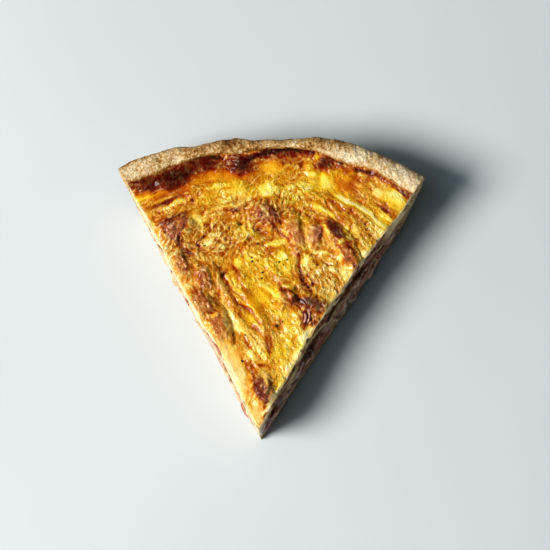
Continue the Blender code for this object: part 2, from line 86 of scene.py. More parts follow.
# %% Where the bacon lies in the top
# Name, x, y, length, width, height, turn, how proud, then its tone (0 charred, 0.5 red-brown,
# 1 pale fat) and the share that baked egg covers.
TOP_BACON = (
    ("bacon_top_left", -40.8, 89.4, 12, 9, 7, 22, 1.5, 0.54, 0),
    ("bacon_top_middle", -0.6, 96.6, 10.5, 7, 6, -38, 1.3, 0.40, 0.8),
    ("bacon_top_upright", 12.6, 88.4, 11, 5, 6, -66, 1.1, 0.52, 0.75),
    ("bacon_top_pink", 20.8, 87.9, 8.4, 6.8, 6, 64, 1.4, 0.62, 0.4),
    ("bacon_top_dark", 30.6, 88.4, 11, 5.4, 6, -46, 1.2, 0.14, 0.9),
    ("bacon_top_side", 37.2, 77.8, 11, 5, 5.5, -58, 0.9, 0.40, 0.95),
    ("bacon_top_edge", -37.4, 72.2, 10, 5, 5.5, -62, 0.8, 0.46, 0.85),
    ("bacon_top_narrow", -26.8, 66.6, 9.6, 5.2, 6, -76, 1.2, 0.28, 0.6),
    ("bacon_top_long", -27.6, 55, 10.6, 6.4, 6.5, -52, 1.5, 0.46, 0.7),
    ("bacon_top_low", -19.4, 44.6, 11.4, 6.8, 6.5, -66, 1.5, 0.46, 0.8),
    ("bacon_top_dome", 10, 58.8, 6.8, 6.2, 5.5, 10, 1.1, 0.36, 0.95),
    ("bacon_top_streak", 22.8, 56.6, 10.8, 4.4, 5.5, -20, 1.3, 0.16, 0.55),
    ("bacon_top_tip", 2.2, 17.4, 12, 8.2, 6.5, -62, 1.5, 0.24, 0.55),
)
print(len(TOP_BACON), "pieces of bacon in the top")

# %% [markdown]
# Two small helpers: a smooth step and a smooth noise
#
# Nearly every shape in food is one value that slides into another, so the smooth step is used
# everywhere. The noise is Blender's own, read at many places at once. With the same length and
# seed it gives the same lumps as the solids have, which is how a fine surface can sit exactly on
# a coarse one.

# %% Smooth steps and noise
def smooth_step(value, start, end):
    """0 before start, 1 after end, and a smooth rise between them."""
    t = limited((value - start) / (end - start))
    return t * t * (3.0 - 2.0 * t)


def limited(value):
    return np.clip(value, 0.0, 1.0)


def hill(value, middle, half):
    """1 at the middle, falling to 0 on both sides, with this half width."""
    return np.exp(-(((value - middle) / half) ** 2))


def mixed(a, b, share):
    return a + (b - a) * share


def noise_at(x, y, seed, length):
    """Noise from about -1 to 1 at many places, with lumps of this length."""
    x, y, seed = np.broadcast_arrays(x, y, seed)
    places = zip(
        (x / length).ravel().tolist(), (y / length).ravel().tolist(), (seed / length).ravel().tolist()
    )
    return np.array([noise.noise(place) for place in places]).reshape(x.shape)


print("noise at the tip:", round(float(noise_at(0.3, 0.4, 3.0, 6.0)), 3))

# %% [markdown]
# The form of the slice
#
# A knife went through twice, and neither cut is quite straight: it leans, ripples, and opens
# hollows. The rim is a row of finger presses. Both are functions of the angle and the distance
# from the tip, because a slice of a round pie is simplest in those two numbers.

# %% The form of the slice
def rim_at(angle):
    """(reach, width) of the rim at each angle, smooth between the finger presses."""
    degrees = np.degrees(angle)
    after = np.clip(np.searchsorted(RIM_PRESSES[:, 0], degrees), 1, len(RIM_PRESSES) - 1)
    low, high = RIM_PRESSES[after - 1], RIM_PRESSES[after]
    t = smooth_step(degrees, low[..., 0], high[..., 0])
    return mixed(low[..., 1], high[..., 1], t), mixed(low[..., 2], high[..., 2], t)


def cut_lean(side, r, z):
    """How far the cut face lies inside the straight cut."""
    inset = sum(a * hill(r, at, half) for s, a, at, half in LEANS if s == side)
    ripple = 0.4 * noise_at(r + 40.0 * side, z, 7.0 * side, 8.0)
    return smooth_step(r, 0.0, 18.0) * (inset * z / CUSTARD_EDGE + ripple)


def cut_hollow(side, r, z):
    """How deep the knife's hollows go into the filling."""
    depth = np.zeros_like(r + z)
    for where, middle, height, radius in HOLLOWS:
        if where == side:
            away = np.hypot(r - middle, z - height) / radius
            depth += 2.0 * (1.0 - smooth_step(away, 0.35, 1.2))
    return depth


def angle_of(u, r, z, relief=None):
    """The angle of the share u across the slice. relief(side, r, z) is a further inset."""
    ends = []
    for side in (-1, 1):
        inset = cut_lean(side, r, z)
        if relief:
            inset = inset + relief(side, r, z)
        ends.append(side * (HALF_ANGLE - inset / np.maximum(r, 1.0)))
    return mixed(ends[0], ends[1], (u + 1.0) / 2.0)


def inner_reach(angle, z):
    """Distance from the tip to the inside of the pastry wall."""
    reach, width = rim_at(angle)
    foot = FLOOR_REACH - WALL_THICK
    return foot + (reach - width - foot) * (z - FLOOR_THICK) / (INNER_EDGE_Z - FLOOR_THICK)


print("rim at the middle: reach, width =", [round(float(v), 1) for v in rim_at(np.array(0.0))])

# %% [markdown]
# A sheet to paint on
#
# A painter of models would sculpt the skin with a brush. A script can do the same on a grid of
# small squares: each layer of the sheet is one number per square, such as height or browning. A
# line is drawn by its distance to a smooth curve, and a patch is an ellipse with a ragged edge.
# A mesh of any fineness reads the sheet afterwards, so the painting doesn't depend on the mesh.

# %% A sheet to paint on
class Sheet:
    """A grid of small squares with named layers of numbers."""

    def __init__(self, low, high, cell, seed, **layers):
        self.cell = cell
        self.low = low
        across = np.arange(low[0], high[0] + cell, cell)
        along = np.arange(low[1], high[1] + cell, cell)
        self.x, self.y = np.meshgrid(across, along)
        self.layers = {name: np.full(self.x.shape, float(value)) for name, value in layers.items()}
        ragged = [0.9 * self.noise(seed + n, 3.6) + 0.45 * self.noise(seed + n, 1.3) for n in (0.0, 50.0)]
        self.ragged_x, self.ragged_y = self.x + ragged[0], self.y + ragged[1]

    def __getitem__(self, layer):
        return self.layers[layer]

    def __setitem__(self, layer, field):
        self.layers[layer] = field

    def noise(self, seed, length):
        """Noise over the whole sheet, with lumps of this length."""
        return noise_at(self.x, self.y, seed, length)

    def ragged_noise(self, seed, length):
        """The same, with crooked lumps."""
        return noise_at(self.ragged_x, self.ragged_y, seed, length)

    def read(self, layer, x, y):
        """The value of a layer or a field at any places, blended between the four squares around."""
        field = self[layer] if isinstance(layer, str) else layer
        column = np.clip((x - self.low[0]) / self.cell, 0.0, field.shape[1] - 1.001)
        row = np.clip((y - self.low[1]) / self.cell, 0.0, field.shape[0] - 1.001)
        i, j = column.astype(int), row.astype(int)
        fx, fy = column - i, row - j
        low = mixed(field[j, i], field[j, i + 1], fx)
        return mixed(low, mixed(field[j + 1, i], field[j + 1, i + 1], fx), fy)

    def window(self, points, margin):
        """The part of the grid that lies near some points."""
        low = (np.min(points, axis=0) - margin - self.low) / self.cell
        high = (np.max(points, axis=0) + margin - self.low) / self.cell
        rows = slice(max(0, int(low[1])), max(1, int(high[1]) + 2))
        return rows, slice(max(0, int(low[0])), max(1, int(high[0]) + 2))

    def from_line(self, points, margin):
        """(window, distance, side, share along) of the squares near a smooth line."""
        line = smooth_line(points)
        area = self.window(line, margin)
        x, y = self.ragged_x[area], self.ragged_y[area]
        best, side, share = np.full(x.shape, 1e9), np.zeros(x.shape), np.zeros(x.shape)
        for n, (a, b) in enumerate(zip(line, line[1:])):
            run = b - a
            t = limited(((x - a[0]) * run[0] + (y - a[1]) * run[1]) / max(run @ run, 1e-9))
            dx, dy = x - a[0] - run[0] * t, y - a[1] - run[1] * t
            away = np.hypot(dx, dy)
            nearer = away < best
            best = np.where(nearer, away, best)
            side = np.where(nearer, np.sign(run[0] * dy - run[1] * dx), side)
            share = np.where(nearer, (n + t) / (len(line) - 1), share)
        return area, best, side, share

    def draw_line(self, points, width, shade=None, **amounts):
        """Adds amounts to layers along a line that thins out at both ends.

        shade is (layer, amount, side): what is added just beside the line, on one side of it.
        """
        area, away, side, share = self.from_line(points, 4.0 * width)
        taper = np.sin(np.pi * limited(0.08 + 0.84 * share)) ** 0.6
        core = taper * hill(away, 0.0, width)
        for layer, amount in amounts.items():
            self[layer][area] += amount * core
        if shade:
            layer, amount, which = shade
            beside = hill(away * side * which, 1.3 * width, 0.8 * width)
            self[layer][area] += amount * taper * beside

    def patch_mask(self, x, y, length, width, turn=0, soft=0.45):
        """(window, mask) of an ellipse with a ragged edge."""
        corners = np.array(((x, y),))
        area = self.window(corners, 0.75 * max(length, width) + 2.0)
        dx, dy = self.ragged_x[area] - x, self.ragged_y[area] - y
        c, s = math.cos(math.radians(turn)), math.sin(math.radians(turn))
        along, across = (dx * c + dy * s) / (length / 2.0), (dy * c - dx * s) / (width / 2.0)
        return area, 1.0 - smooth_step(np.hypot(along, across), 1.0 - soft, 1.0 + soft)

    def blend_patch(self, place, strength=1.0, soft=0.45, rise=0.0, **targets):
        """Moves layers towards target values inside a ragged ellipse."""
        area, mask = self.patch_mask(*place, soft=soft)
        for layer, target in targets.items():
            self[layer][area] = mixed(self[layer][area], target, mask * strength)
        if rise:
            self["height"][area] += rise * mask


def smooth_line(points, steps=7):
    """A smooth curve through points, as short runs. Their x and y may be written in turn."""
    p = np.array(points, float).reshape(-1, 2)
    p = np.vstack((2.0 * p[0] - p[1], p, 2.0 * p[-1] - p[-2]))
    t = np.linspace(0.0, 1.0, steps, endpoint=False)[:, None]
    runs = [
        0.5 * (2 * b + (c - a) * t + (2 * a - 5 * b + 4 * c - d) * t**2 + (3 * b - a - 3 * c + d) * t**3)
        for a, b, c, d in zip(p, p[1:], p[2:], p[3:])
    ]
    return np.vstack(runs + [p[-2:-1]])

# %% The sheet of the skin
SQUARE = 0.3  # the side of a sheet's square, in mm
skin = Sheet(
    (-72.0, -3.0), (72.0, 128.0), SQUARE, seed=4.0,
    height=0.0, bake=0.42, wet=0.5, crinkle=1.0, meat=0.0, tone=0.5, toast=0.0, straight=0.0,
)
print("the skin's sheet has", skin.x.shape, "squares")

# %% [markdown]
# The broad form of the skin
#
# In the oven the egg rises at the rim, sinks in the middle, and sags round each buried piece of
# bacon. This cell repeats those slow forms. The fine ones come on top of them.

# %% The broad form of the skin
# The broad folds of the skin: height, then x and y of each point in turn.
FOLDS = (
    (0.9, -46, 92, -27, 97, -5, 101, 14, 103, 30, 99, 44, 90), (1.0, 12, 108, 30, 103, 45, 96, 54, 89),
    (0.8, -24, 72, -19, 62, -13, 54, -9, 46), (0.8, -12, 70, -8, 60, -2, 52, 2, 42, 3, 32),
    (-0.9, -12, 92, 2, 88, 12, 83, 19, 79, 27, 76), (-0.8, 15, 80, 17, 72, 19, 64),
    (-0.9, -24, 62, -17, 54, -13, 46), (0.7, 3, 72, 9, 64, 14, 54, 17, 44), (0.8, 33, 84, 40, 74, 43, 68),
    (0.7, -56, 98, -44, 103, -30, 106, -12, 108),
)
FOLD_HALF_WIDTH = 2.4
MOUND_RISE, SKIN_WAVE = 1.1, 0.45  # the swell over each piece of bacon, and the slow waves
EDGE_CLIMB, CLIMB_REACH = 1.3, 2.6  # how far the egg boiled up the rim, and over what width


def distance_to_chain(x, y, chain):
    """Distance from each place to straight runs between points, x and y in turn."""
    nearest = np.full(x.shape, 1e9)
    chain = np.reshape(chain, (-1, 2))
    for a, b in zip(chain, chain[1:]):
        run = b - a
        t = limited(((x - a[0]) * run[0] + (y - a[1]) * run[1]) / (run @ run))
        nearest = np.minimum(nearest, np.hypot(x - a[0] - run[0] * t, y - a[1] - run[1] * t))
    return nearest


def broad_skin(x, y):
    """Height of the skin without its fine relief, the same as the solid's."""
    r = np.hypot(x, y)
    z = mixed(CUSTARD_TIP, CUSTARD_MIDDLE, smooth_step(r, 0.0, TIP_END))
    z = z + (CUSTARD_EDGE - CUSTARD_MIDDLE) * smooth_step(r, EDGE_START, EDGE_END)
    for _, px, py, length, width, *_ in TOP_BACON:
        mound = 0.62 * (length + width) / 2.0 + 1.5
        z += MOUND_RISE * np.exp(-((x - px) ** 2 + (y - py) ** 2) / mound**2)
    clear_of_rim = 1.0 - smooth_step(r, 114.0, 121.0)
    for height, *chain in FOLDS:
        z += clear_of_rim * height * hill(distance_to_chain(x, y, chain), 0.0, FOLD_HALF_WIDTH)
    z += SKIN_WAVE * clear_of_rim * noise_at(x, y, 3.0, 6.0)
    return z + SKIN_WAVE * noise_at(x, y, 11.0, 17.0)


skin["height"] += broad_skin(skin.x, skin.y)
bacon_heights = {
    name: float(skin.read("height", np.array(x), np.array(y))) for name, x, y, *_ in TOP_BACON
}
from_rim = inner_reach(np.arctan2(skin.x, skin.y), CUSTARD_EDGE) - np.hypot(skin.x, skin.y)
skin["height"] += EDGE_CLIMB * smooth_step(from_rim + 0.8 * skin.noise(41.0, 3.0), CLIMB_REACH, 0.0)
print("skin heights from", round(skin["height"].min(), 1), "to", round(skin["height"].max(), 1))

# %% [markdown]
# Where the oven browned it
#
# One number, the bake, goes from 0 (cream) through yellow, gold and brown to 1 (burnt). That is the order in
# which egg really colours. A second number, the toast, says where the skin dried to a tan film instead of
# staying eggy. Both are drawn as patches: broad tones first, then the burnt band inside the rim, bright
# yellow pools, pale mounds and painted highlights, and brown crags. In every list below, a patch is x, y,
# length, width and, where it isn't 0, its turn in degrees.

# %% Broad tones
# Broad tones of the skin: each patch, then what is added to the bake.
BROAD_TONES = (
    (-31, 122, 14, 6, 15, 0.14), (5, 121.5, 18, 6, 3, 0.10), (-54, 109.5, 16, 8, 20, 0.10),
    (-35, 104, 20, 11, 22, 0.12), (-19, 104, 20, 9, 10, 0.05), (-9, 82, 26, 18, 10, 0.11),
    (2, 75, 24, 14, -20, 0.09), (-5, 63, 14, 18, -50, 0.08), (46, 92, 16, 14, -40, -0.17),
    (55, 103, 14, 12, -35, -0.13), (44, 82, 10, 12, -50, -0.13), (-38, 70, 10, 22, 30, -0.10),
    (-25, 52, 10, 14, 30, -0.06), (36, 64, 18, 12, -55, -0.17), (13, 30, 7, 22, -25, -0.12),
    (22, 43, 7, 12, -30, -0.12), (14, 75, 20, 16, 0, 0.06), (10, 41, 9, 14, -30, 0.08),
    (28, 51, 12, 9, -50, -0.12), (40, 74, 8, 8, -50, -0.10),
)
# Where the skin dried to a tan film: each patch, then how much.
DRIED = (
    (0, 6, 8, 16, 0, 1.0), (-18, 100, 24, 12, 8, 0.35), (-38, 78, 26, 24, 30, 0.95),
    (-36, 60, 18, 34, 30, 1.0), (-22, 58, 16, 34, 30, 0.8), (-13, 30, 34, 14, -62, 1.0),
    (-24, 84, 20, 18, 0, 0.6), (-48, 95, 20, 10, 22, 0.6), (28, 66, 26, 24, 0, 0.7),
    (20, 86, 22, 12, -10, 0.7), (22, 50, 14, 18, 0, 0.7), (38, 78, 14, 18, -55, 0.6),
    (0, 97, 20, 12, 0, 0.6), (-1, 40, 14, 24, -50, 0.55), (-3, 22, 12, 16, -60, 0.8),
    (45, 108, 12, 9, 0, 0.5), (44, 92, 14, 12, -40, 0.35), (12, 28, 8, 18, -25, 0.4),
)
TONE_STRENGTH, DRIED_STRENGTH = 1.3, 0.95

for *place, amount in BROAD_TONES:
    area, mask = skin.patch_mask(*place, soft=0.9)
    skin["bake"][area] += TONE_STRENGTH * amount * mask
for *place, amount in DRIED:
    skin.blend_patch(place, soft=0.7, toast=DRIED_STRENGTH * amount)
skin["toast"] += 0.25 * skin.noise(23.0, 5.0)
skin["bake"] += 0.07 * skin.noise(21.0, 12.0) + 0.07 * skin.noise(33.0, 4.0)
print("mean bake", round(skin["bake"].mean(), 2), "and mean toast", round(skin["toast"].mean(), 2))

# %% The toasted edge
# The skin is toasted all along the rim: half width, amount, then x and y of each point in turn.
TOASTED_EDGE = (
    (2.9, 0.43, -64, 105.5, -55, 108, -47, 110.5, -38, 114.5, -30, 117.5, -22, 118.5, -14, 119),
    (2.2, 0.33, -14, 119, -6, 121.6, 2, 123.6, 10, 124.4, 18, 124),
    (1.6, 0.14, 18, 123, 26, 120.6, 34, 118, 42, 115.6, 50, 113, 57, 109.6, 62, 106.6),
)
skin["bake"] += 0.22 * smooth_step(from_rim + 0.7 * skin.noise(45.0, 2.5), 2.2, 0.3)
for width, amount, *points in TOASTED_EDGE:
    skin.draw_line(points, width, bake=amount)
print(len(TOASTED_EDGE), "toasted lines along the rim")

# %% Patches, from gold to burnt
GOLDEN = (
    (-30, 84, 44, 34), (0, 98, 40, 14), (36, 92, 30, 22, -35), (26, 66, 22, 22), (-22, 56, 16, 38, 30),
    (-11, 113, 26, 5, 8),
)
YELLOW = (
    (-18, 104.5, 26, 9, 10), (-55, 102.6, 12, 3.4, 22), (0, 117.8, 9, 4.5, 5), (22, 113.5, 11, 7, -20),
    (19, 109.5, 16, 3.4, -10), (48, 104, 16, 4, -35), (-5, 72, 14, 17), (7, 75, 12, 11),
    (0, 60, 9, 12, -50), (8, 37, 8, 13, -20), (13, 32, 6, 10, -20), (13, 47, 8, 10, -40),
    (7, 25, 5, 10, -60), (23, 99.5, 12, 3, -25), (-12, 88, 8, 7), (-8, 48, 7, 12, -50),
    (37, 88, 4, 9, -50),
)
# Pale mounds, and highlights painted as pale patches.
PALE_AND_HIGHLIGHTS = (
    (-22, 108.2, 9, 1.8, 12), (-30.5, 93, 6.5, 4, -30), (-26.3, 82.5, 5.5, 3.4, 30),
    (-23.5, 85.8, 5, 2.2, -15), (-1.4, 107.6, 7.4, 6.4), (25, 112, 3.6, 6, 30), (18, 115.5, 5, 2.4, -20),
    (15.5, 109.6, 6, 2.2, -10), (20.6, 122.8, 2.6, 2.6), (47.7, 108, 3.2, 4.6, 20),
    (56, 105.8, 9, 4.6, -38), (4.2, 83.6, 9, 2.6, 15), (6.8, 78, 3.2, 4, 20), (18.6, 84, 2.8, 6, -10),
    (22.6, 80.1, 8, 1.3), (17.5, 76.8, 3, 4.6, -20), (28.4, 72.8, 2.4, 2.2), (23.4, 71.8, 3, 2.6),
    (32.8, 78, 2.6, 4, -40), (36.4, 72.6, 2.2, 4, -35), (38.2, 69, 1.5, 4.4, -15),
    (44, 80.5, 2.4, 4.6, -35), (17.8, 41.4, 4.2, 2.6, 10), (11, 38.3, 3.2, 3), (8.8, 42, 2.6, 1.3, -40),
    (46.6, 97, 18, 2.2, -38), (34.4, 103.6, 15, 2.0, -24), (-12.6, 74, 4, 5), (3.4, 8.2, 3.2, 4.6, -22),
    (-5, 33, 4, 5, -50), (-6.6, 76, 5, 1.5, -30), (6.2, 14.5, 7, 1.6, 62), (1.6, 107, 5, 2, 70),
    (-42, 99.5, 12, 2.4, 27), (34, 90.5, 2.2, 6, -30), (50, 88.5, 2, 6, -32),
)
PEACH = (
    (-1, 6, 5, 11), (-13.4, 31, 22, 7, -62), (-10.4, 24, 20, 6.4, -64), (-8.4, 20, 4, 16, 3),
    (-16.4, 38, 6, 8, -10), (-31, 92.5, 9, 6, -30), (17.4, 88.4, 4, 6, -15), (30, 60, 10, 5, -60),
    (36, 70, 8, 5, -60), (20.5, 44, 8, 4, -60),
)
BROWN = (
    (-49.5, 98.4, 18, 2.4, 22), (-43, 107.4, 16, 3, 24), (-38, 81, 13, 6, -35), (0, 97, 13, 8, -10),
    (-5.5, 91.5, 8, 4.6, -40), (10, 99, 11, 4), (34.5, 110.8, 11, 5.4, -15), (36.5, 80, 9, 5, -55),
    (28.5, 102.5, 4, 2.4, -30), (32.5, 96, 5, 2.6, -10), (3.6, 37.6, 2.6, 9, -12), (16.8, 66, 3.4, 8, 15),
    (9.5, 61.6, 6, 2.4, -5), (-14.8, 44.8, 2, 6, -10), (-12.8, 40, 2, 5, -20), (8.5, 119.8, 11, 4.4, 10),
    (-13, 70, 8, 3, -50), (40, 114, 12, 3, -12), (52, 101, 14, 3, -40), (-46, 93, 16, 3, 22),
    (17, 50, 3, 6), (-20.5, 78, 4, 3), (-50, 94, 6, 2, 22), (5, 94, 8, 3, 20), (-4.4, 26.6, 12, 4, -61),
)
RED_BROWN = (
    (-13.2, 118, 15, 10.5, 5), (-45.5, 109.6, 30, 8.6, 23), (-30, 118, 14, 6, 12), (24, 120, 9.6, 7, 12),
    (6, 124.6, 16, 2.8, 3), (31, 119.4, 5, 3, -10), (42, 116.4, 13, 1.6, -14), (59, 108.4, 7, 2.2, -42),
    (-59, 106.8, 10, 2.4, 14), (-27.2, 91, 3.2, 2.2), (-14.8, 97.8, 3.6, 2.2), (39.3, 74.4, 2.2, 2.6),
    (13.2, 119.5, 2, 4, -10), (6, 120.5, 3, 3), (33.5, 117.5, 3.6, 3.6), (55.2, 111.4, 4, 1.6, -35),
    (60, 108.3, 4.5, 2, -50), (20.6, 65.4, 1.8, 3.4, 10), (-18.6, 68.4, 2, 5, -30),
    (6, 46.4, 1.1, 2.2, 10), (-23.5, 119.6, 6, 3.2, 5), (0.3, 28.5, 4, 1.5, 3),
    (-34.3, 101.3, 1.8, 4, -15), (0.8, 17.4, 10, 6, -62), (22.6, 48.9, 3.6, 4), (21.6, 52.4, 8, 8.6, 20),
    (18.6, 50, 3, 9), (-29.5, 84.5, 5, 1.6, 45), (-40, 83, 3, 6, 10), (-30.8, 81, 1.8, 1.6),
)
MAROON = (
    (30, 90, 10, 4.0, -46), (1.2, 97.6, 5, 2.2, -55), (20, 57.4, 14, 2.8, -8), (22.4, 49.4, 4.4, 5),
    (18.8, 50, 2.6, 9), (-42.6, 89, 4, 5, 10), (22.4, 88.4, 4, 4), (-13.2, 118.4, 11, 8, 5),
    (4, 125.4, 18, 2, 4), (-9, 121.8, 7, 1.8, 25), (60, 107.8, 5, 1.2, -45), (-53, 107.8, 11, 5, 18),
    (-46.5, 110.5, 9, 5.4, 25), (-43, 107.8, 10, 3, 22), (-35, 116.4, 7, 4.6, 22),
    (-29, 118.4, 10, 4.6, 12), (-27, 116.5, 5, 3.4), (24, 120.4, 6.2, 4.6, 15), (13.6, 58.6, 2, 4.4, -20),
    (25.5, 53.7, 3.6, 1.7, -15), (-0.2, 16.8, 10, 1.8, -57), (4.3, 16.8, 12, 1.5, 73),
    (24, 56, 7, 2.2, -8),
)
BURNT = (
    (-41.5, 112.3, 12.5, 5.6, 20), (-12.6, 118.6, 5.4, 5), (31, 120.7, 2.5, 1.6), (-16.5, 49.4, 1.9, 1.8),
    (-51.4, 110, 2.2, 1.4, 20), (-35, 70, 1.1, 1.8), (3.1, 6.8, 2.6, 1.6, 60),
)
# The bake that each group tends to, how strongly, how soft its edge is, its rise and its wetness.
BROWNING = (
    (GOLDEN, 0.50, 0.8, 0.60, 0.0, 0.5), (YELLOW, 0.27, 0.8, 0.60, 0.1, 0.7),
    (PALE_AND_HIGHLIGHTS, 0.08, 0.9, 0.40, 0.25, 0.9), (PEACH, 0.20, 0.8, 0.50, 0.0, 0.8),
    (BROWN, 0.64, 0.8, 0.55, -0.1, 0.3), (RED_BROWN, 0.80, 0.85, 0.50, 0.0, 0.3),
    (MAROON, 0.91, 0.9, 0.50, 0.2, 0.30), (BURNT, 0.97, 0.95, 0.45, 0.2, 0.32),
)
for places, bake, strength, soft, rise, wet in BROWNING:
    for place in places:
        skin.blend_patch(place, strength, soft, rise, bake=bake, wet=wet)
print(sum(len(group[0]) for group in BROWNING), "patches in", len(BROWNING), "groups")

# %% Blisters
# Where steam lifted the skin: each patch, then its height.
BLISTERS = (
    (-13, 118.4, 10, 8, 5, 1.3), (-41.5, 112, 12, 6, 20, 0.9), (-52, 108, 8, 5, 18, 0.6),
    (-27, 117, 6, 4, 0, 0.6), (24, 120.4, 7, 5, 15, 0.8), (-33, 116.4, 5, 4, 20, 0.5),
    (-1, 107.6, 8, 7, 0, 0.7), (55, 105.5, 9, 5, -38, 0.4), (18.5, 118, 6, 7, 0, 0.8),
    (-46, 110, 7, 5, 25, 0.5),
)
for *place, rise in BLISTERS:
    skin.blend_patch(place, soft=0.8, rise=rise)
print(len(BLISTERS), "blisters")

# %% [markdown]
# Folds that were drawn one by one
#
# Thin skin on soft egg wrinkles as it cools. The folds that a viewer would miss are drawn here, as lines:
# crests stand up and are painted pale, as a painted highlight, and creases sink and are painted browner,
# partly as painted shade. Just beside each crest lies a browner strip of painted shade at the fold's foot.

# %% The lists of folds
# Half width, strength, then x and y of each point in turn.
CRESTS = (
    (1.5, 0.5, 26, 107.5, 33, 104.5, 40, 100.6, 46, 97, 53, 92),
    (0.7, 0.9, 20, 101, 24, 99.5, 27, 98, 29.5, 95.5), (0.6, 0.7, 25, 105.6, 30, 103.6, 34, 101),
    (0.8, 0.9, -27, 96, -24, 97.8, -20, 98.9, -16, 99.6, -12, 100.6, -8, 102.6),
    (0.6, 0.7, -24, 95.6, -21.5, 95.2, -19.8, 93), (0.7, 0.6, -18.5, 82.5, -17, 84, -16, 86.4),
    (0.7, 0.7, -19.5, 79.5, -17.6, 81.6), (0.7, 0.7, -8.4, 86.5, -7.4, 90, -8.2, 93),
    (0.7, 1.0, 7, 89, 9, 87, 11, 84.8, 12.8, 82.3), (0.6, 0.9, 9, 90.5, 11, 88.5, 12, 86),
    (0.8, 0.9, -17, 70, -15.5, 65.5, -14, 62.7, -11, 60.6, -8.6, 59),
    (0.7, 0.8, -13.4, 60, -12, 58, -10, 56.2), (0.8, 0.8, -8.6, 56.4, -5, 53.6, -3, 51),
    (0.8, 0.8, -6, 49.6, -3.6, 47.4, -1.6, 45.8, 0.6, 44.6),
    (0.9, 0.8, -21.4, 70, -20, 65, -19, 61, -17.8, 57),
    (1.0, 0.9, -28.4, 60.8, -25, 57.5, -22.5, 54, -20.6, 51.4),
    (1.1, 1.0, -19, 57, -16.5, 53, -14.5, 50.3, -13, 47, -12.1, 44, -12, 41),
    (1.3, 1.0, -11, 44.2, -8, 43.2, -6, 41, -4, 38, -1.6, 35.4),
    (0.9, 0.8, -3.6, 43, -1, 39.6, 1, 36.4, 2.6, 32.4), (0.7, 0.8, 15.2, 78.4, 15.6, 74.6, 16.6, 70.6),
    (0.7, 0.9, 17.4, 77, 18.6, 74, 19.1, 71, 19.5, 67.6), (0.8, 0.8, 25, 79, 28, 76.6, 31, 74),
    (1.2, 1.0, -1.4, 66, 1, 63.4, 3.4, 61.2, 5.6, 58.6, 8, 55.4),
    (0.7, 0.9, 9, 66, 11, 63.6, 13.6, 61.4, 15, 59.4),
    (0.7, 0.9, 3.5, 54.6, 6, 52, 8.5, 49.5, 10, 46.6, 12.6, 43.4),
    (0.6, 0.8, 20.8, 54, 21.6, 52, 21.2, 50), (0.6, 0.8, 22.4, 54.2, 23.4, 52.2, 24.6, 50.8),
    (0.6, 0.8, 20.6, 47.4, 22, 49.8, 24.4, 51.6), (0.5, 0.7, 24.4, 49.2, 24.8, 47.4),
    (0.8, 0.9, -0.8, 26.4, 0.6, 24.6, 2.2, 22.4), (0.6, 0.7, 8.6, 31.4, 9.6, 28, 9.8, 24.2),
    (0.6, 0.6, 10.8, 29.6, 12, 26.6), (0.8, 1.0, 9, 20.5, 7.2, 16.6, 5, 12.4, 3.4, 9, 2.2, 6.4),
    (0.7, 0.7, 2, 76.6, 4, 75, 5, 72.4), (0.6, 0.6, -1, 71, 1, 68.6, 3, 66),
    (0.6, 0.7, 42, 96.6, 45, 93.4, 47, 90.4), (0.6, 0.6, 37, 92, 40, 88.6, 43, 85),
    (0.6, 0.6, -57.6, 100.4, -50, 103.6, -44, 106), (0.5, 0.6, -54, 97.8, -48, 100.4, -41, 103.2),
    (0.7, 0.6, -34, 79.6, -31, 77.4, -27.6, 76), (0.8, 0.6, -32.6, 74.6, -30.6, 71, -30, 67.4),
    (0.6, 0.6, 5.4, 34, 6.4, 30.4, 8, 27),
)
CREASES = (
    (0.9, 1.0, -4, 94.8, 0, 92.3, 3, 90.5, 8, 87, 11, 84, 13, 81.5, 15, 79.8),
    (0.7, 0.7, -10, 91, -4, 89.4, 2, 88, 6, 86.8), (0.8, 1.0, 13.4, 82, 14.4, 78, 15, 73.6, 16.2, 68.6),
    (0.7, 1.0, 18, 73.4, 19.2, 69.6, 20.6, 66),
    (0.9, 1.0, -20.5, 71.5, -19, 69, -17.5, 66, -16, 63, -14.5, 60, -12, 57.2),
    (0.8, 0.9, -12, 57.2, -9, 55, -6, 52.5, -3.5, 50, -1, 47),
    (0.8, 0.55, -24.4, 64, -22, 59.8, -20, 56.8, -18, 54, -17, 51, -16.3, 49.4),
    (0.7, 0.4, -16.3, 49.4, -15.2, 46.5, -14.6, 43, -13.6, 39.6),
    (0.7, 0.6, -13, 52, -10, 50.5, -7, 47.5, -4, 44.5, -2, 42),
    (0.8, 0.9, -57, 96.4, -50, 98.6, -44, 101, -40, 103),
    (0.6, 0.6, -56, 99, -48, 102.2, -42, 105, -35, 108.6),
    (0.7, 0.8, 38, 109, 43, 106, 47, 103.5, 52, 99.5, 55.6, 96.6),
    (0.6, 0.6, 40, 104.6, 45, 101.4, 50, 98), (0.6, 0.6, 32, 101.4, 38, 97.4, 43, 93.6, 46.6, 89),
    (0.6, 0.8, -30, 83.6, -27.5, 86.5, -25, 88.5, -23, 91, -22.8, 94.4),
    (0.6, 0.6, -17.6, 86.8, -16.4, 89.4, -18.6, 91),
    (0.6, 0.7, 12, 104, 15, 102.6, 18, 100.4, 24, 97, 28, 94),
    (0.6, 0.6, 14, 98, 20, 95.6, 26, 93.6, 30, 92), (0.6, 0.7, 2, 110.6, 6, 110, 9, 111),
    (0.6, 0.6, 2.6, 109.6, 3.4, 106.6, 2.4, 104.4), (0.7, 0.8, 15, 80, 18, 79.4, 21, 78.4, 25, 76.4),
    (0.7, 0.9, 7, 62.4, 10, 62.4, 12.6, 61, 14, 59, 15, 56.6, 17.6, 55),
    (0.6, 0.6, 1.6, 42, 1.6, 39.4, 2.4, 36.4), (0.6, 0.6, 5, 66, 9, 62.6),
    (0.6, 0.7, -6.6, 31.6, -6.4, 26, -6, 20, -5.2, 15.6), (0.6, 0.6, -13.6, 36.6, -14.2, 34.2, -13.8, 32),
)
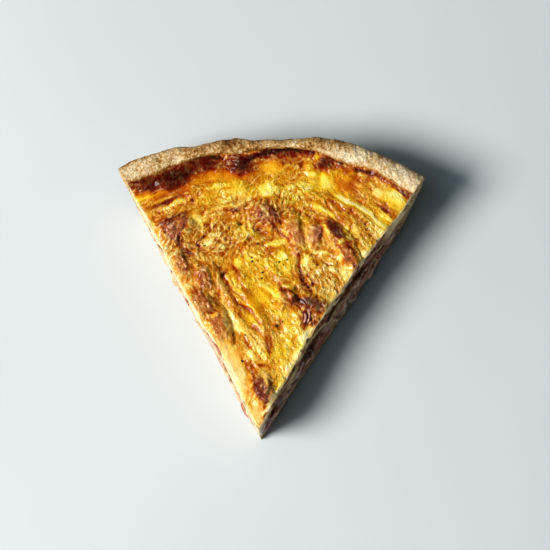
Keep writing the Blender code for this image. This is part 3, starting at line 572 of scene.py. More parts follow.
BURNT_LINES = (
    (0.9, 1.0, -50.4, 88.6, -47, 90.4, -43, 92.2, -39, 94.4, -36, 95.6),
    (0.7, 0.8, -36, 92.6, -37.4, 89, -38, 86, -39.6, 81),
    (0.9, 1.0, -9, 121, -6, 122.6, -3, 124, 4, 125.3, 10, 125.9, 14, 126.2),
    (0.7, 0.9, 37, 117.3, 41, 116.9, 46, 116.6, 50, 115),
    (0.6, 0.7, 27, 94, 30, 91.6, 33.4, 87, 36, 84, 38.4, 81),
    (0.6, 0.9, -35, 120.2, -30, 121.4, -24, 121.4, -20, 120.8), (0.6, 0.7, 15, 126, 18, 125, 21.6, 122.6),
)
print(len(CRESTS), "crests,", len(CREASES), "creases,", len(BURNT_LINES), "burnt lines")

# %% The folds themselves
# Painted light: crests painted paler as a painted highlight, with painted shade at their foot; creases
# painted browner, partly as painted shade.
for width, strength, *points in CRESTS:
    foot = ("bake", 0.16 * strength, -1)
    skin.draw_line(points, width, foot, height=0.5 * strength, bake=-0.26 * strength, wet=0.3)
for width, strength, *points in CREASES:
    skin.draw_line(points, width, height=-0.45 * strength, bake=0.24 * strength)
for width, strength, *points in BURNT_LINES:
    skin.draw_line(points, width, height=-0.1, bake=0.32 * strength)

# A pale line is painted along the skin's edge at each cut, as a painted highlight, a little stronger on the
# right cut: how far it runs.
EDGE_HIGHLIGHT_END = {-1: 119.0, 1: 74.0}
for side in (-1, 1):
    reach = np.arange(8.0, EDGE_HIGHLIGHT_END[side], 6.0)
    angle = side * (HALF_ANGLE - (cut_lean(side, reach, CUSTARD_EDGE) + 1.1) / reach)
    edge_line = np.column_stack((reach * np.sin(angle), reach * np.cos(angle)))
    skin.draw_line(edge_line, 1.2, height=0.2, bake=-0.18 - 0.04 * side, wet=0.2)

# A row of small pleats, side by side, where the skin was pushed together, each painted pale as a painted
# highlight with painted shade beside it.
PLEATS, PLEAT_HALF_WIDTH = 11, 0.38
pleat_line = smooth_line(((-48.5, 97), (-43, 100), (-38.5, 102.6), (-34.5, 104)))
for n in range(PLEATS):
    at = pleat_line[round((len(pleat_line) - 1) * n / (PLEATS - 1))]
    tail = at + np.array((1.1, -2.6 - 1.2 * math.sin(2.0 * n)))
    pleat = (at, (at + tail) / 2.0, tail)
    skin.draw_line(pleat, PLEAT_HALF_WIDTH, ("bake", 0.32, -1), height=0.45, bake=-0.32)
print(PLEATS, "pleats; heights up to", round(skin["height"].max(), 1))

# %% [markdown]
# The skin over each piece of bacon
#
# A lardon near the top isn't laid on the skin: the egg rose round it and baked over it in a thin,
# torn film. So the skin is draped over each lardon here, with a ragged thickness. Where that goes
# below nothing, the lardon itself comes through, and its colour shows through the film as well.
# One piece was left bare, with the straight sides that the cook's knife gave it. Tongues of egg
# ran over some of the others and part them.

# %% The form of a draped piece
SQUARENESS = 3.4
FILM_ROUGHNESS = 0.5
SHOULDER_START, SHOULDER_SLOPE = 0.74, 0.75  # where the mound's sides begin, and how steep they are
# The corners of the bare piece, anticlockwise.
BARE_PIECE = "bacon_top_left"
BARE_CORNERS = ((-47.3, 89.2), (-43.9, 83.1), (-39.8, 82.8), (-36.2, 90.6), (-35.9, 94.4))


def lardon_outline(x, y, piece):
    """0 at the middle of a lardon seen from above, 1 at its edge."""
    _, px, py, length, width, _, turn, *_ = piece
    c, s = math.cos(math.radians(turn)), math.sin(math.radians(turn))
    dx, dy = x - px, y - py
    along, across = np.abs(dx * c + dy * s) / (length / 2.0), np.abs(dy * c - dx * s) / (width / 2.0)
    return (along**SQUARENESS + across**SQUARENESS) ** (1.0 / SQUARENESS)


def inside_corners(x, y):
    """How far inside the bare part each place lies, in mm, and less than 0 outside it."""
    depth = np.full(np.shape(x), 99.0)
    for (ax, ay), (bx, by) in zip(BARE_CORNERS, BARE_CORNERS[1:] + BARE_CORNERS[:1]):
        across = (bx - ax) * (y - ay) - (by - ay) * (x - ax)
        depth = np.minimum(depth, across / math.hypot(bx - ax, by - ay))
    return depth


print("the bare piece is", round(2 * float(inside_corners(-41.5, 88.5)), 1), "mm wide")

# %% The draped skin
def drape(piece):
    """Lays the skin over one lardon, and keeps how much of its meat shows through."""
    name, px, py, length, width, _, _, proud, tone, egg = piece
    area = skin.window(np.array(((px, py),)), length)
    x, y, ragged_x, ragged_y = skin.x[area], skin.y[area], skin.ragged_x[area], skin.ragged_y[area]
    torn = 0.3 + 0.7 * egg  # the more egg lies over a piece, the less its edges show
    out = lardon_outline(mixed(x, ragged_x, torn), mixed(y, ragged_y, torn), piece)
    down = SHOULDER_SLOPE * np.maximum(out - SHOULDER_START, 0.0) * width / 2.0
    film = torn * FILM_ROUGHNESS * noise_at(x, y, 83.0 + px, 2.0) + 0.55 * (egg - 0.45)
    level = bacon_heights[name] + proud
    draped = level - down + film
    if name == BARE_PIECE:
        inside = inside_corners(mixed(x, ragged_x, 0.2), y)
        draped = draped + 0.8 * smooth_step(inside, 0.5, -0.4)
        draped = np.maximum(draped, level - 0.35 - 0.7 * np.maximum(1.0 - inside, 0.0))
        out = 1.0 - inside / 4.5
    over = smooth_step(draped - skin["height"][area], -0.2, 0.5)
    skin["height"][area] = mixed(skin["height"][area], draped, over)
    under = smooth_step(1.25 - out, 0.0, 0.45)
    skin["meat"][area] = np.maximum(skin["meat"][area], under * (0.9 - 0.5 * egg))
    rind = 0.5 * (1.0 - egg) * hill(out, 1.0, 0.13)
    skin["tone"][area] = mixed(skin["tone"][area], tone - rind, smooth_step(1.6 - out, 0.0, 0.4))
    skin["bake"][area] += 0.08 * hill(out, 1.3, 0.25) + 0.05 * under


for piece in TOP_BACON:
    drape(piece)
# Tongues of pale egg over the pieces: x, y, length, width, turn.
EGG_TONGUES = (
    (2, 24.6, 6.5, 3, -74), (3, 20.4, 4, 1.5, -74), (-22.2, 49.8, 5, 1.5, 20),
    (-23.4, 60.4, 4.5, 1.5, 25), (-15.6, 47, 14, 2.4, -66), (-31.4, 51.6, 9, 1.3, -58),
    (16.6, 88.4, 8, 1.5, -60), (25.8, 90.6, 6, 1.4, -60), (-2.6, 98.6, 5, 1.3, -40), (33, 85, 4, 1.6, 30),
)
for place in EGG_TONGUES:
    skin.blend_patch(place, 0.9, 0.5, 0.35, meat=0.0, bake=0.2, wet=0.8)
print("skin draped over", len(TOP_BACON), "pieces, with", len(EGG_TONGUES), "tongues of egg")

# %% [markdown]
# Wrinkles that follow the flow
#
# Between the folds the whole skin is finely crinkled, and the crinkles run the way the skin was
# pulled. Noise alone looks like gravel. So the noise is combed: each square takes the mean of the
# noise along a short path that follows the flow, which turns dots into strokes. The flow itself
# comes from the lines drawn above, and from a few hints where nothing was drawn. In a few places
# the skin was pulled hard, and there the path is longer and straighter, so the strokes are too.

# %% The flow of the skin
# Hints: x, y, direction in degrees.
FLOW_HINTS = (
    (-52, 100, 22), (-20, 113, 8), (-1, 108, 80), (30, 112, -30), (50, 96, -40), (42, 88, -50),
    (28, 68, -80), (22, 71, -72), (5, 70, -60), (-6, 78, -60), (-32, 80, -40), (-41, 82, 72),
    (-10, 62, -55), (-20, 55, -60), (-8, 42, -60), (6, 46, -60), (12, 34, -72), (-12, 28, -66),
    (0, 8, 85), (-22, 88, 40), (-12, 94, 65), (8, 104, 70), (32, 80, -55), (-34, 72, -55), (10, 97, 80),
    (18, 104, -15), (-40, 108, 22), (55, 104, -40), (4, 84, 20), (36, 66, -60), (0, 118, 10),
)
HINT_REACH, LINE_REACH = 7.0, 3.0  # how far a hint and a drawn line reach, in mm
# Where the strokes run long and straight: x, y, length, width, turn.
STRAIGHT = ((48, 99, 38, 22, -38), (-50, 101, 28, 9, 22), (-6, 48, 46, 16, -60), (-8, 112, 44, 6, 5))


def flow_field(sheet):
    """Unit direction of the flow in each square, blended from the hints and the drawn lines."""
    cosine, sine = np.zeros(sheet.x.shape), np.zeros(sheet.x.shape)
    for x, y, degrees in FLOW_HINTS:
        far = (sheet.x - x) ** 2 + (sheet.y - y) ** 2
        weight = np.exp(-far / (2 * HINT_REACH**2)) + 1e-9
        cosine += weight * math.cos(math.radians(2 * degrees))
        sine += weight * math.sin(math.radians(2 * degrees))
    for _, _, *points in CRESTS + CREASES:
        points = np.reshape(points, (-1, 2))
        for a, b in zip(points, points[1:]):
            middle = (a + b) / 2.0
            turn = math.atan2(b[1] - a[1], b[0] - a[0])
            area = sheet.window(middle[None], 3.0 * LINE_REACH)
            far = (sheet.x[area] - middle[0]) ** 2 + (sheet.y[area] - middle[1]) ** 2
            weight = 2.0 * np.exp(-far / (2 * LINE_REACH**2))
            cosine[area] += weight * math.cos(2 * turn)
            sine[area] += weight * math.sin(2 * turn)
    wiggle = 1.3 - 0.95 * sheet["straight"]
    turn = 0.5 * np.arctan2(sine, cosine) + wiggle * sheet.noise(61.0, 2.7)
    return np.cos(turn), np.sin(turn)


for place in STRAIGHT:
    skin.blend_patch(place, soft=0.7, straight=1.0)
flow = flow_field(skin)
print(len(FLOW_HINTS), "hints and", len(CRESTS + CREASES), "lines give the flow")

# %% Combed noise
def combed(sheet, field, flow, steps, stride):
    """The mean of a field along the flow through each square."""
    total = field.copy()
    for way in (-1.0, 1.0):
        x, y = sheet.x.copy(), sheet.y.copy()
        last_x, last_y = way * flow[0], way * flow[1]
        for _ in range(steps):
            dx, dy = sheet.read(flow[0], x, y), sheet.read(flow[1], x, y)
            same = np.where(dx * last_x + dy * last_y < 0.0, -1.0, 1.0)
            last_x, last_y = dx * same, dy * same
            x, y = x + stride * last_x, y + stride * last_y
            total += sheet.read(field, x, y)
    return total / (2 * steps + 1)


def even(field):
    """The same field with a mean of 0 and a spread of 1."""
    return (field - field.mean()) / field.std()


dots = np.random.default_rng(7).standard_normal(skin.x.shape)
fine_dots = (dots + np.roll(dots, 1, 0) + np.roll(dots, 1, 1) + np.roll(dots, (1, 1), (0, 1))) / 2.0
fine = even(combed(skin, fine_dots, flow, 3, 0.3))
middling = even(combed(skin, skin.noise(5.0, 0.95), flow, 4, 0.35))
coarse = even(combed(skin, skin.noise(9.0, 1.9), flow, 5, 0.6))
puckers = even(-np.abs(skin.ragged_noise(15.0, 2.2)))
strokes = even(combed(skin, skin.noise(27.0, 0.7), flow, 3, 0.3))
long_strokes = even(combed(skin, skin.noise(35.0, 0.8), flow, 9, 0.35))
strokes = mixed(strokes, long_strokes, skin["straight"])
crests, grooves = smooth_step(strokes, 0.5, 1.8), smooth_step(-strokes, 0.7, 2.0)
print("share of the skin on a crest:", round(float((crests > 0.5).mean()), 2))

# %% Crinkled and smooth places
# Each patch: x, y, length, width, turn.
CRINKLED = (
    (-38, 80, 18, 13), (-22, 86, 15, 14), (25, 67, 18, 19), (10, 99, 20, 8), (45, 91, 15, 14, -40),
    (0, 99, 14, 8), (-8, 89, 12, 12), (8, 106, 12, 8), (-14, 102, 12, 6),
)
SMOOTH = (
    (-12, 28, 26, 9, -62), (-1, 6, 6, 14), (22, 114, 10, 8), (-55, 102.5, 14, 6, 22),
    (-22, 113, 26, 5, 8), (34, 111, 12, 8), (-4, 58, 9, 14, -50), (45, 97.5, 22, 3, -37),
    (-1, 118, 10, 6), (-42, 105, 16, 4, 22),
)
for places, crinkle in ((CRINKLED, 1.7), (SMOOTH, 0.35)):
    for place in places:
        skin.blend_patch(place, 0.9, 0.6, crinkle=crinkle)
skin["crinkle"] *= 1.0 - 0.45 * smooth_step(skin["bake"], 0.40, 0.22)  # pale egg is smoother
print("mean crinkle", round(skin["crinkle"].mean(), 2))

# %% The relief of the skin, and its colour
burnt = smooth_step(skin["bake"], 0.78, 0.92)
amount = skin["crinkle"] * (1.0 - 0.75 * burnt)
curls = smooth_step(np.abs(skin.ragged_noise(29.0, 2.5)), 0.17, 0.0)
curls *= np.clip(skin["crinkle"] - 0.6, 0.0, 0.8)
lumps = skin.noise(71.0, 1.5)
swells = np.tanh(2.2 * skin.ragged_noise(73.0, 5.2))  # soft egg that rose between the wrinkles

# Each kind of wrinkle: its height in mm, and how much paler it makes the skin where it rises and darker
# where it sinks, as painted highlight and painted shade.
WRINKLES = (
    (fine, 0.035, 0.015), (middling, 0.04, 0.02), (coarse, 0.075, 0.045), (puckers, 0.09, 0.02),
    (crests, 0.25, 0.12), (-grooves, 0.15, 0.06), (curls, 0.24, 0.0),
)
# Swells and curls are painted paler, as painted highlight.
SWELL_HEIGHT, SWELL_PALER, CURL_PALER = 0.28, 0.055, 0.13
SKIN_PALER = -0.03  # over the whole skin
DARK_BAKE = 0.8  # above this the wrinkles hardly show as colour

skin["height"] += amount * sum(height * field for field, height, _ in WRINKLES)
skin["height"] += 0.16 * burnt * lumps + SWELL_HEIGHT * swells
# Painted light from the relief: risen skin paler and sunken skin darker, burnt lumps included; cream where
# the film-and-glint is high, a dried film and painted glints.
paler = amount * sum(pale * field for field, _, pale in WRINKLES)
paler = paler + SWELL_PALER * swells + CURL_PALER * curls + SKIN_PALER
skin["bloom"] = limited((amount * crests + 0.7 * curls) * (1.0 - 0.7 * burnt))
skin["bake"] += np.where(skin["bake"] > DARK_BAKE, -0.3 * paler - 0.04 * burnt * lumps, -paler)
skin["bake"] = limited(skin["bake"])
print("bake runs from", round(skin["bake"].min(), 2), "to", round(skin["bake"].max(), 2))

# %% [markdown]
# What a cut face shows
#
# The knife opens the filling: pale egg with small bubbles above, and below it a packed layer of bacon and
# onion, bound with egg, on the pastry floor. Each face gets a sheet of its own, with distance from the tip
# across it and height up it. The bacon that stands out is made as solid pieces later, so these painted
# chunks only fill the places between them. A few more pieces lie higher, in the egg, and the knife left
# hollows there. Crevices, bubbles, gaps and hollows are darkened with painted shade, far more on the right
# cut, which lies in the window's shade. The left cut, in the window's light, is painted with paler meat,
# more egg showing and little shade.

# %% The numbers of the cut faces
CHUNKS, ONIONS, BUBBLES = 64, 34, 460
DARK_CHUNKS = {-1: 7, 1: 36}  # pieces in the egg above the layer, on each side; many more on the right cut, for its painted shade
FACE_TONES = {-1: (0.68, 1.0), 1: (0.25, 0.75)}  # the tone of the meat, from darkest to palest; paler on the left cut, as painted light from the window
MEAT_AND_SHADE_SHARE = {-1: 0.35, 1: 1.0}  # how strongly meat and painted shade show; full on the right cut, which lies in the window's shade
# Long gaps darkened with painted shade, on the right cut: side, distance from the tip, height, length,
# width, turn.
GAPS = (
    (1, 14, 17, 22, 9, 8), (1, 44, 18, 20, 6, 0), (1, 84, 20, 30, 6, 4),
)
# Onion at the cuts: name, side, distance from the tip, height, radius, direction in degrees.
CUT_ONION = (
    ("onion_right_back", 1, 68, 8, 5.6, 84), ("onion_right_front", 1, 25.5, 8.2, 5, 96),
    ("onion_left_back", -1, 88, 7.8, 5.2, 92), ("onion_left_front", -1, 24.5, 8.4, 4.8, 84),
)
LAYER_LOW, LAYER_HIGH = FLOOR_THICK + 1.5, LAYER_TOP - 0.5
print("the packed layer is", LAYER_HIGH - LAYER_LOW, "mm deep")

# %% What is painted on a cut face
def paint_chunks(sheet, draw, side):
    """Meat packed in the layer, each chunk with a ring of painted shade round it."""
    for _ in range(CHUNKS):
        r, z = draw.uniform(4, 113), draw.uniform(LAYER_LOW, LAYER_HIGH)
        length, width, turn = draw.uniform(4, 9), draw.uniform(2.2, 4.4), draw.normal(0, 22)
        painted_crevice_shade = (r, z, length + 1.6, width + 1.6, turn)
        sheet.blend_patch(painted_crevice_shade, 0.8, 0.3, shade=0.75 * MEAT_AND_SHADE_SHARE[side], meat=0.0)
        chunk, tone = (r, z, length, width, turn), draw.uniform(*FACE_TONES[side])
        sheet.blend_patch(chunk, 1.0, 0.25, meat=MEAT_AND_SHADE_SHARE[side], shade=0.0, tone=tone)
        sheet.blend_patch(chunk, soft=0.4, rise=-0.45)


def paint_onions(sheet, draw, side):
    """Strips of onion in the layer, as flat arcs, with painted shade in the crevice on one side."""
    crevice = ("shade", 0.7 * MEAT_AND_SHADE_SHARE[side] ** 0.5, -1)
    for _ in range(ONIONS):
        r, z = draw.uniform(4, 112), draw.uniform(LAYER_LOW, LAYER_HIGH + 2.0)
        long, rise = draw.uniform(2.5, 6.0), draw.normal(0.0, 1.2)
        arc = ((r - long, z - rise), (r, z + draw.uniform(0.6, 1.8)), (r + long, z + rise))
        sheet.draw_line(arc, 0.65, crevice, height=-0.35, onion=1.2, meat=-1.0)


def paint_dark_chunks(sheet, draw, side):
    """Pieces in the egg above the layer: each a hollow darkened with painted shade, with meat in it."""
    for _ in range(DARK_CHUNKS[side]):
        r, z = draw.uniform(6, 108), draw.uniform(LAYER_TOP, 28.0)
        length, width, turn = draw.uniform(4, 13), draw.uniform(2.0, 5.0), draw.normal(0, 25)
        hollow = (r, z, length, width, turn)
        sheet.blend_patch(hollow, 0.95, 0.45, shade=0.85, meat=0.0)
        sheet.blend_patch(hollow, soft=0.4, rise=0.6)
        core = (r, z + 0.15 * width, 0.75 * length, 0.65 * width, turn)
        tone = draw.uniform(0.35, 0.8)
        sheet.blend_patch(core, 0.9, 0.3, rise=-0.7, meat=1.0, shade=0.1, tone=tone)


def paint_bubbles(sheet, draw):
    """Small bubbles that the knife opened in the egg, each dented in and darkened with painted shade."""
    for _ in range(BUBBLES):
        r, z = draw.uniform(2, 122), draw.uniform(LAYER_TOP - 1.0, 30.0)
        size = draw.lognormal(-0.45, 0.5)
        area, mask = sheet.patch_mask(r, z, 1.3 * size, size, draw.uniform(0, 180), soft=0.3)
        sheet["height"][area] += 0.5 * size * mask
        sheet["shade"][area] = np.maximum(sheet["shade"][area], 0.3 * mask)


print(2 * CHUNKS, "chunks,", 2 * ONIONS, "strips of onion and", 2 * BUBBLES, "bubbles to paint")

# %% The two painted faces
def paint_face(side):
    """The sheet of one cut face. Its height is how far the face lies inside the cut."""
    draw = np.random.default_rng(20 + side)
    sheet = Sheet(
        (-1.0, -1.0), (137.0, 36.0), SQUARE, 90.0 * side,
        height=0.0, meat=0.0, tone=0.5, onion=0.0, shade=0.0,
    )
    paint_chunks(sheet, draw, side)
    paint_onions(sheet, draw, side)
    paint_dark_chunks(sheet, draw, side)
    paint_bubbles(sheet, draw)
    for _, *place in (gap for gap in GAPS if gap[0] == side):
        sheet.blend_patch(place, 0.8, 0.7, rise=0.7, shade=0.9)
    # Painted shadow in the knife's hollows, deeper on the right cut, which lies in the window's shade.
    for _, r, z, radius in (hollow for hollow in HOLLOWS if hollow[0] == side):
        hollow = (r, z, 3.6 * radius, 1.5 * radius, 14.0)
        sheet.blend_patch(hollow, 1.0, 0.5, meat=0.0, shade=0.7 + 0.25 * side)
    sheet["height"] += 0.16 * sheet.noise(13.0 * side, 1.6)
    sheet["height"] += 0.22 * sheet.noise(17.0 * side, 4.5)
    sheet["height"] += 0.5 * limited(sheet["shade"])
    return sheet


faces = {side: paint_face(side) for side in (-1, 1)}


def face_relief(side, r, z):
    """The whole inset of the filling at a cut face: hollows, bubbles, chunks and crevices."""
    fade = smooth_step(r, 1.0, 6.0)
    return cut_hollow(side, r, z) + fade * faces[side].read("height", r, z)


print("the deepest crevice is", round(faces[1]["height"].max(), 1), "mm deep")

# %% [markdown]
# A fine wedge
#
# The pastry, the layer and the egg are all wedges. A grid of squares would squeeze its squares
# into slivers at the tip, so row i holds i + 1 points and every triangle stays nearly even. One
# side of the wedge is seen and gets all the points. The hidden side takes every tenth point only,
# and a ring of small fans joins the two, so that the body stays closed.

# %% The grid of a wedge
BACK_STEP = 10  # the hidden side takes every tenth point


def wedge_points(rows, step=1):
    """Row and share across, from -1 to 1, of every point of a triangular sheet."""
    row = np.repeat(np.arange(0, rows + 1, step), np.arange(1, rows // step + 2))
    place = np.concatenate([np.arange(n + 1) for n in range(rows // step + 1)]) * step
    return row, np.where(row > 0, 2.0 * place / np.maximum(row, 1) - 1.0, 0.0)


def sheet_faces(rows):
    """Triangles of a triangular sheet, seen from above."""
    faces_found = []
    for i in range(rows):
        a = i * (i + 1) // 2 + np.arange(i + 1)
        b = a + i + 1
        faces_found.append(np.stack((a, b + 1, b), axis=1))
        faces_found.append(np.stack((a[:-1], a[:-1] + 1, b[:-1] + 1), axis=1))
    return np.vstack(faces_found)


def ring_of(rows):
    """Row and place of the points round the sheet: up the right cut, along the rim, down the left."""
    up = np.arange(rows + 1)
    row = np.concatenate((up, np.full(rows, rows), up[rows - 1 : 0 : -1]))
    place = np.concatenate((up, np.arange(rows - 1, -1, -1), np.zeros(rows - 1, int)))
    return row, place


print("a sheet of 330 rows has", len(sheet_faces(330)), "triangles")

# %% A new piece, and what it stands for
def new_piece(name, places, triangles, attributes):
    """A mesh object from slice millimetres, its faces turned outwards, with float attributes."""
    points = np.stack((places[0], places[1] - TIP_BACK, places[2]), axis=1) * MM
    corners = points[triangles]
    volume = np.einsum("ij,ij->i", corners[:, 0], np.cross(corners[:, 1], corners[:, 2])).sum()
    if volume < 0.0:
        triangles = triangles[:, ::-1]
    mesh = bpy.data.meshes.new(name)
    mesh.from_pydata(points.tolist(), [], triangles.tolist())
    for key, values in attributes.items():
        values = np.asarray(values, np.float32)
        mesh.attributes.new(key, "FLOAT", "POINT").data.foreach_set("value", values)
    mesh.shade_smooth()
    piece = bpy.data.objects.new(name, mesh)
    bpy.context.scene.collection.objects.link(piece)
    print(f"{name}: {len(triangles)} triangles, {abs(volume) / 6.0 * 1e6:.1f} cm3")
    return piece


def dress(piece, material, slot, *nodes):
    """Gives a finished piece its material, attaches it to the root body and hides the solids that it
    replaces.
    """
    piece.data.materials.append(material)
    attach(piece, "root")
    if nodes:
        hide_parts(*nodes)


print("all that is made joins", bpy.context.scene.collection.name)

# %% A closed wedge
def wedge_mesh(name, rows, levels, form):
    """A closed wedge. form(row, u, t) gives x, y, z and a dictionary of attributes.

    t is 1 on the fine side and 0 on the hidden, coarse one.
    """
    row, u = wedge_points(rows)
    ring_row, ring_place = ring_of(rows)
    ring_u = np.where(ring_row > 0, 2.0 * ring_place / np.maximum(ring_row, 1) - 1.0, 0.0)
    back_row, back_u = wedge_points(rows, BACK_STEP)
    middle = np.arange(levels - 1, 0, -1) / levels
    all_row = np.concatenate((row, np.tile(ring_row, levels - 1), back_row))
    all_u = np.concatenate((u, np.tile(ring_u, levels - 1), back_u))
    all_t = (np.ones(len(row)), np.repeat(middle, len(ring_row)), np.zeros(len(back_row)))
    x, y, z, attributes = form(all_row.astype(float), all_u, np.concatenate(all_t))

    count = len(ring_row)
    top_ring = ring_row * (ring_row + 1) // 2 + ring_place
    rings = [top_ring] + [len(row) + count * n + np.arange(count) for n in range(levels - 1)]
    found = [sheet_faces(rows)]
    for upper, lower in zip(rings, rings[1:]):
        next_upper, next_lower = np.roll(upper, -1), np.roll(lower, -1)
        found.append(np.stack((lower, next_lower, next_upper), axis=1))
        found.append(np.stack((lower, next_upper, upper), axis=1))
    back_start = len(row) + count * (levels - 1)
    found.append(back_start + sheet_faces(rows // BACK_STEP)[:, ::-1])
    found += joining_fans(rings[-1], back_start, rows // BACK_STEP)
    return new_piece(name, (x, y, z), np.vstack(found), attributes)


def joining_fans(ring, back_start, back_rows):
    """Triangles between the last fine ring and the edge of the coarse side."""
    corner_row, corner_place = ring_of(back_rows)
    corners = back_start + corner_row * (corner_row + 1) // 2 + corner_place
    next_corners = np.roll(corners, -1)
    first = np.arange(len(corners)) * BACK_STEP
    half = BACK_STEP // 2
    fans = []
    for k in range(BACK_STEP):
        upper, beside = ring[first + k], ring[(first + k + 1) % len(ring)]
        fans.append(np.stack((corners if k < half else next_corners, beside, upper), axis=1))
    fans.append(np.stack((corners, next_corners, ring[first + half]), axis=1))
    return fans


print("the hidden side has", len(sheet_faces(330 // BACK_STEP)), "triangles where the seen one has 330 rows")

# %% [markdown]
# Colours and nodes
#
# Colours below are written as red, green and blue from 0 to 255, the way a picture shows them.
# Blender's sockets want linear light instead, so one helper converts them. Node trees are long to
# write out, so a small builder adds a node and sets or links its inputs in one call.

# %% Colours as the eye gives them
def colour(red, green, blue):
    """A socket's colour from values of 0 to 255 as seen on a screen."""
    seen = np.array((red, green, blue)) / 255.0
    linear = np.where(seen <= 0.04045, seen / 12.92, ((seen + 0.055) / 1.055) ** 2.4)
    return (*linear.tolist(), 1.0)


print("baked gold in linear light:", [round(v, 3) for v in colour(213, 161, 41)])

# %% A builder of node trees
class Tree:
    """Short calls for building a node tree."""

    def __init__(self, tree):
        self.tree = tree

    def fill(self, node, inputs):
        """Sets inputs to values, or links them where a socket is given. _ stands for a space."""
        for key, value in inputs.items():
            socket = node.inputs[key.replace("_", " ") if isinstance(key, str) else key]
            if isinstance(value, bpy.types.NodeSocket):
                self.tree.links.new(value, socket)
            else:
                socket.default_value = value

    def node(self, kind, inputs=None, **settings):
        """A new node with its settings and its inputs."""
        node = self.tree.nodes.new(kind)
        for key, value in settings.items():
            setattr(node, key, value)
        self.fill(node, inputs or {})
        return node

    def add(self, kind, inputs=None, out=0, **settings):
        """The same, but gives one of the node's outputs."""
        return self.node(kind, inputs, **settings).outputs[out]

    def math(self, operation, a, b=0.0, c=0.0, clamp=False):
        return self.add("ShaderNodeMath", {0: a, 1: b, 2: c}, operation=operation, use_clamp=clamp)

    def times(self, a, b, clamp=False):
        return self.math("MULTIPLY", a, b, clamp=clamp)

    def minus(self, a, b, clamp=False):
        return self.math("SUBTRACT", a, b, clamp=clamp)

    def mix(self, share, a, b):
        """A colour between a and b."""
        return self.add("ShaderNodeMix", {0: share, 6: a, 7: b}, 2, data_type="RGBA")

    def blend(self, share, a, b):
        """A number between a and b."""
        return self.add("ShaderNodeMix", {0: share, 2: a, 3: b}, data_type="FLOAT")

    def remap(self, value, low, high, to_low=0.0, to_high=1.0):
        inputs = {"Value": value, "From Min": low, "From Max": high}
        inputs.update({"To Min": to_low, "To Max": to_high})
        return self.add("ShaderNodeMapRange", inputs)

    def noise(self, scale, detail=3.0, roughness=0.55, distortion=0.0):
        """Noise on the object's own coordinates. scale is lumps in a metre."""
        where = self.add("ShaderNodeTexCoord", out="Object")
        inputs = {"Vector": where, "Scale": scale, "Detail": detail}
        inputs.update(Roughness=roughness, Distortion=distortion)
        return self.add("ShaderNodeTexNoise", inputs, "Fac")

    def attribute(self, name):
        return self.add("ShaderNodeAttribute", out="Fac", attribute_name=name)

    def ramp(self, value, *stops):
        """A colour ramp. Each stop is its place from 0 to 1, red, green, blue."""
        node = self.node("ShaderNodeValToRGB", {"Fac": value})
        elements = node.color_ramp.elements
        while len(elements) < len(stops):
            elements.new(0.5)
        for element, (place, *shade) in zip(elements, stops):
            element.position = place
            element.color = colour(*shade)
        return node.outputs["Color"]

    def mottle(self, dark, pale, scale, detail, roughness):
        """A colour that drifts between two with the noise."""
        return self.ramp(self.noise(scale, detail, roughness), (0.3, *dark), (0.7, *pale))


print("a tree can", [name for name in vars(Tree) if not name.startswith("_")])

# %% [markdown]
# Effects that several finishes share
#
# Baked egg colours the skin, but it also runs over the bacon and the onion. A fine grain lies on
# everything that was in the oven. A film of fat shines in patches, and cooked meat shows on the
# skin, at the cuts and on each lardon. Each is one node group with named inputs, so that a change
# to it reaches every material that uses it.

# %% Making a group
FLOAT, COLOUR = "NodeSocketFloat", "NodeSocketColor"


def new_group(name, inputs, outputs):
    """An empty node group: its builder, its inputs as sockets, and its end node."""
    tree = bpy.data.node_groups.new(name, "ShaderNodeTree")
    for label, value in inputs.items():
        socket = tree.interface.new_socket(label, in_out="INPUT", socket_type=FLOAT)
        socket.default_value = value
    for label, kind in outputs.items():
        tree.interface.new_socket(label, in_out="OUTPUT", socket_type=kind)
    build = Tree(tree)
    return build, build.node("NodeGroupInput").outputs, build.node("NodeGroupOutput")


def centred_noise(build, *sizes):
    """Noise with its middle at 0."""
    return build.minus(build.noise(*sizes), 0.5)


print("a number travels by", FLOAT, "and a colour by", COLOUR)

# %% Baked egg
# Place on the ramp, then red, green and blue, for skin that stayed eggy and for skin that dried.
BAKED_STOPS = (
    (0.00, 255, 240, 170), (0.12, 254, 226, 92), (0.25, 247, 199, 36), (0.40, 224, 153, 10),
    (0.54, 199, 109, 2), (0.67, 168, 64, 0), (0.80, 121, 27, 0), (0.90, 78, 10, 2), (1.00, 32, 6, 3),
)
DRIED_STOPS = (
    (0.00, 255, 238, 196), (0.12, 252, 218, 150), (0.25, 243, 192, 104), (0.40, 224, 155, 46),
    (0.54, 200, 111, 14), (0.67, 166, 65, 0), (0.80, 121, 28, 0), (0.90, 78, 10, 2), (1.00, 32, 6, 3),
)


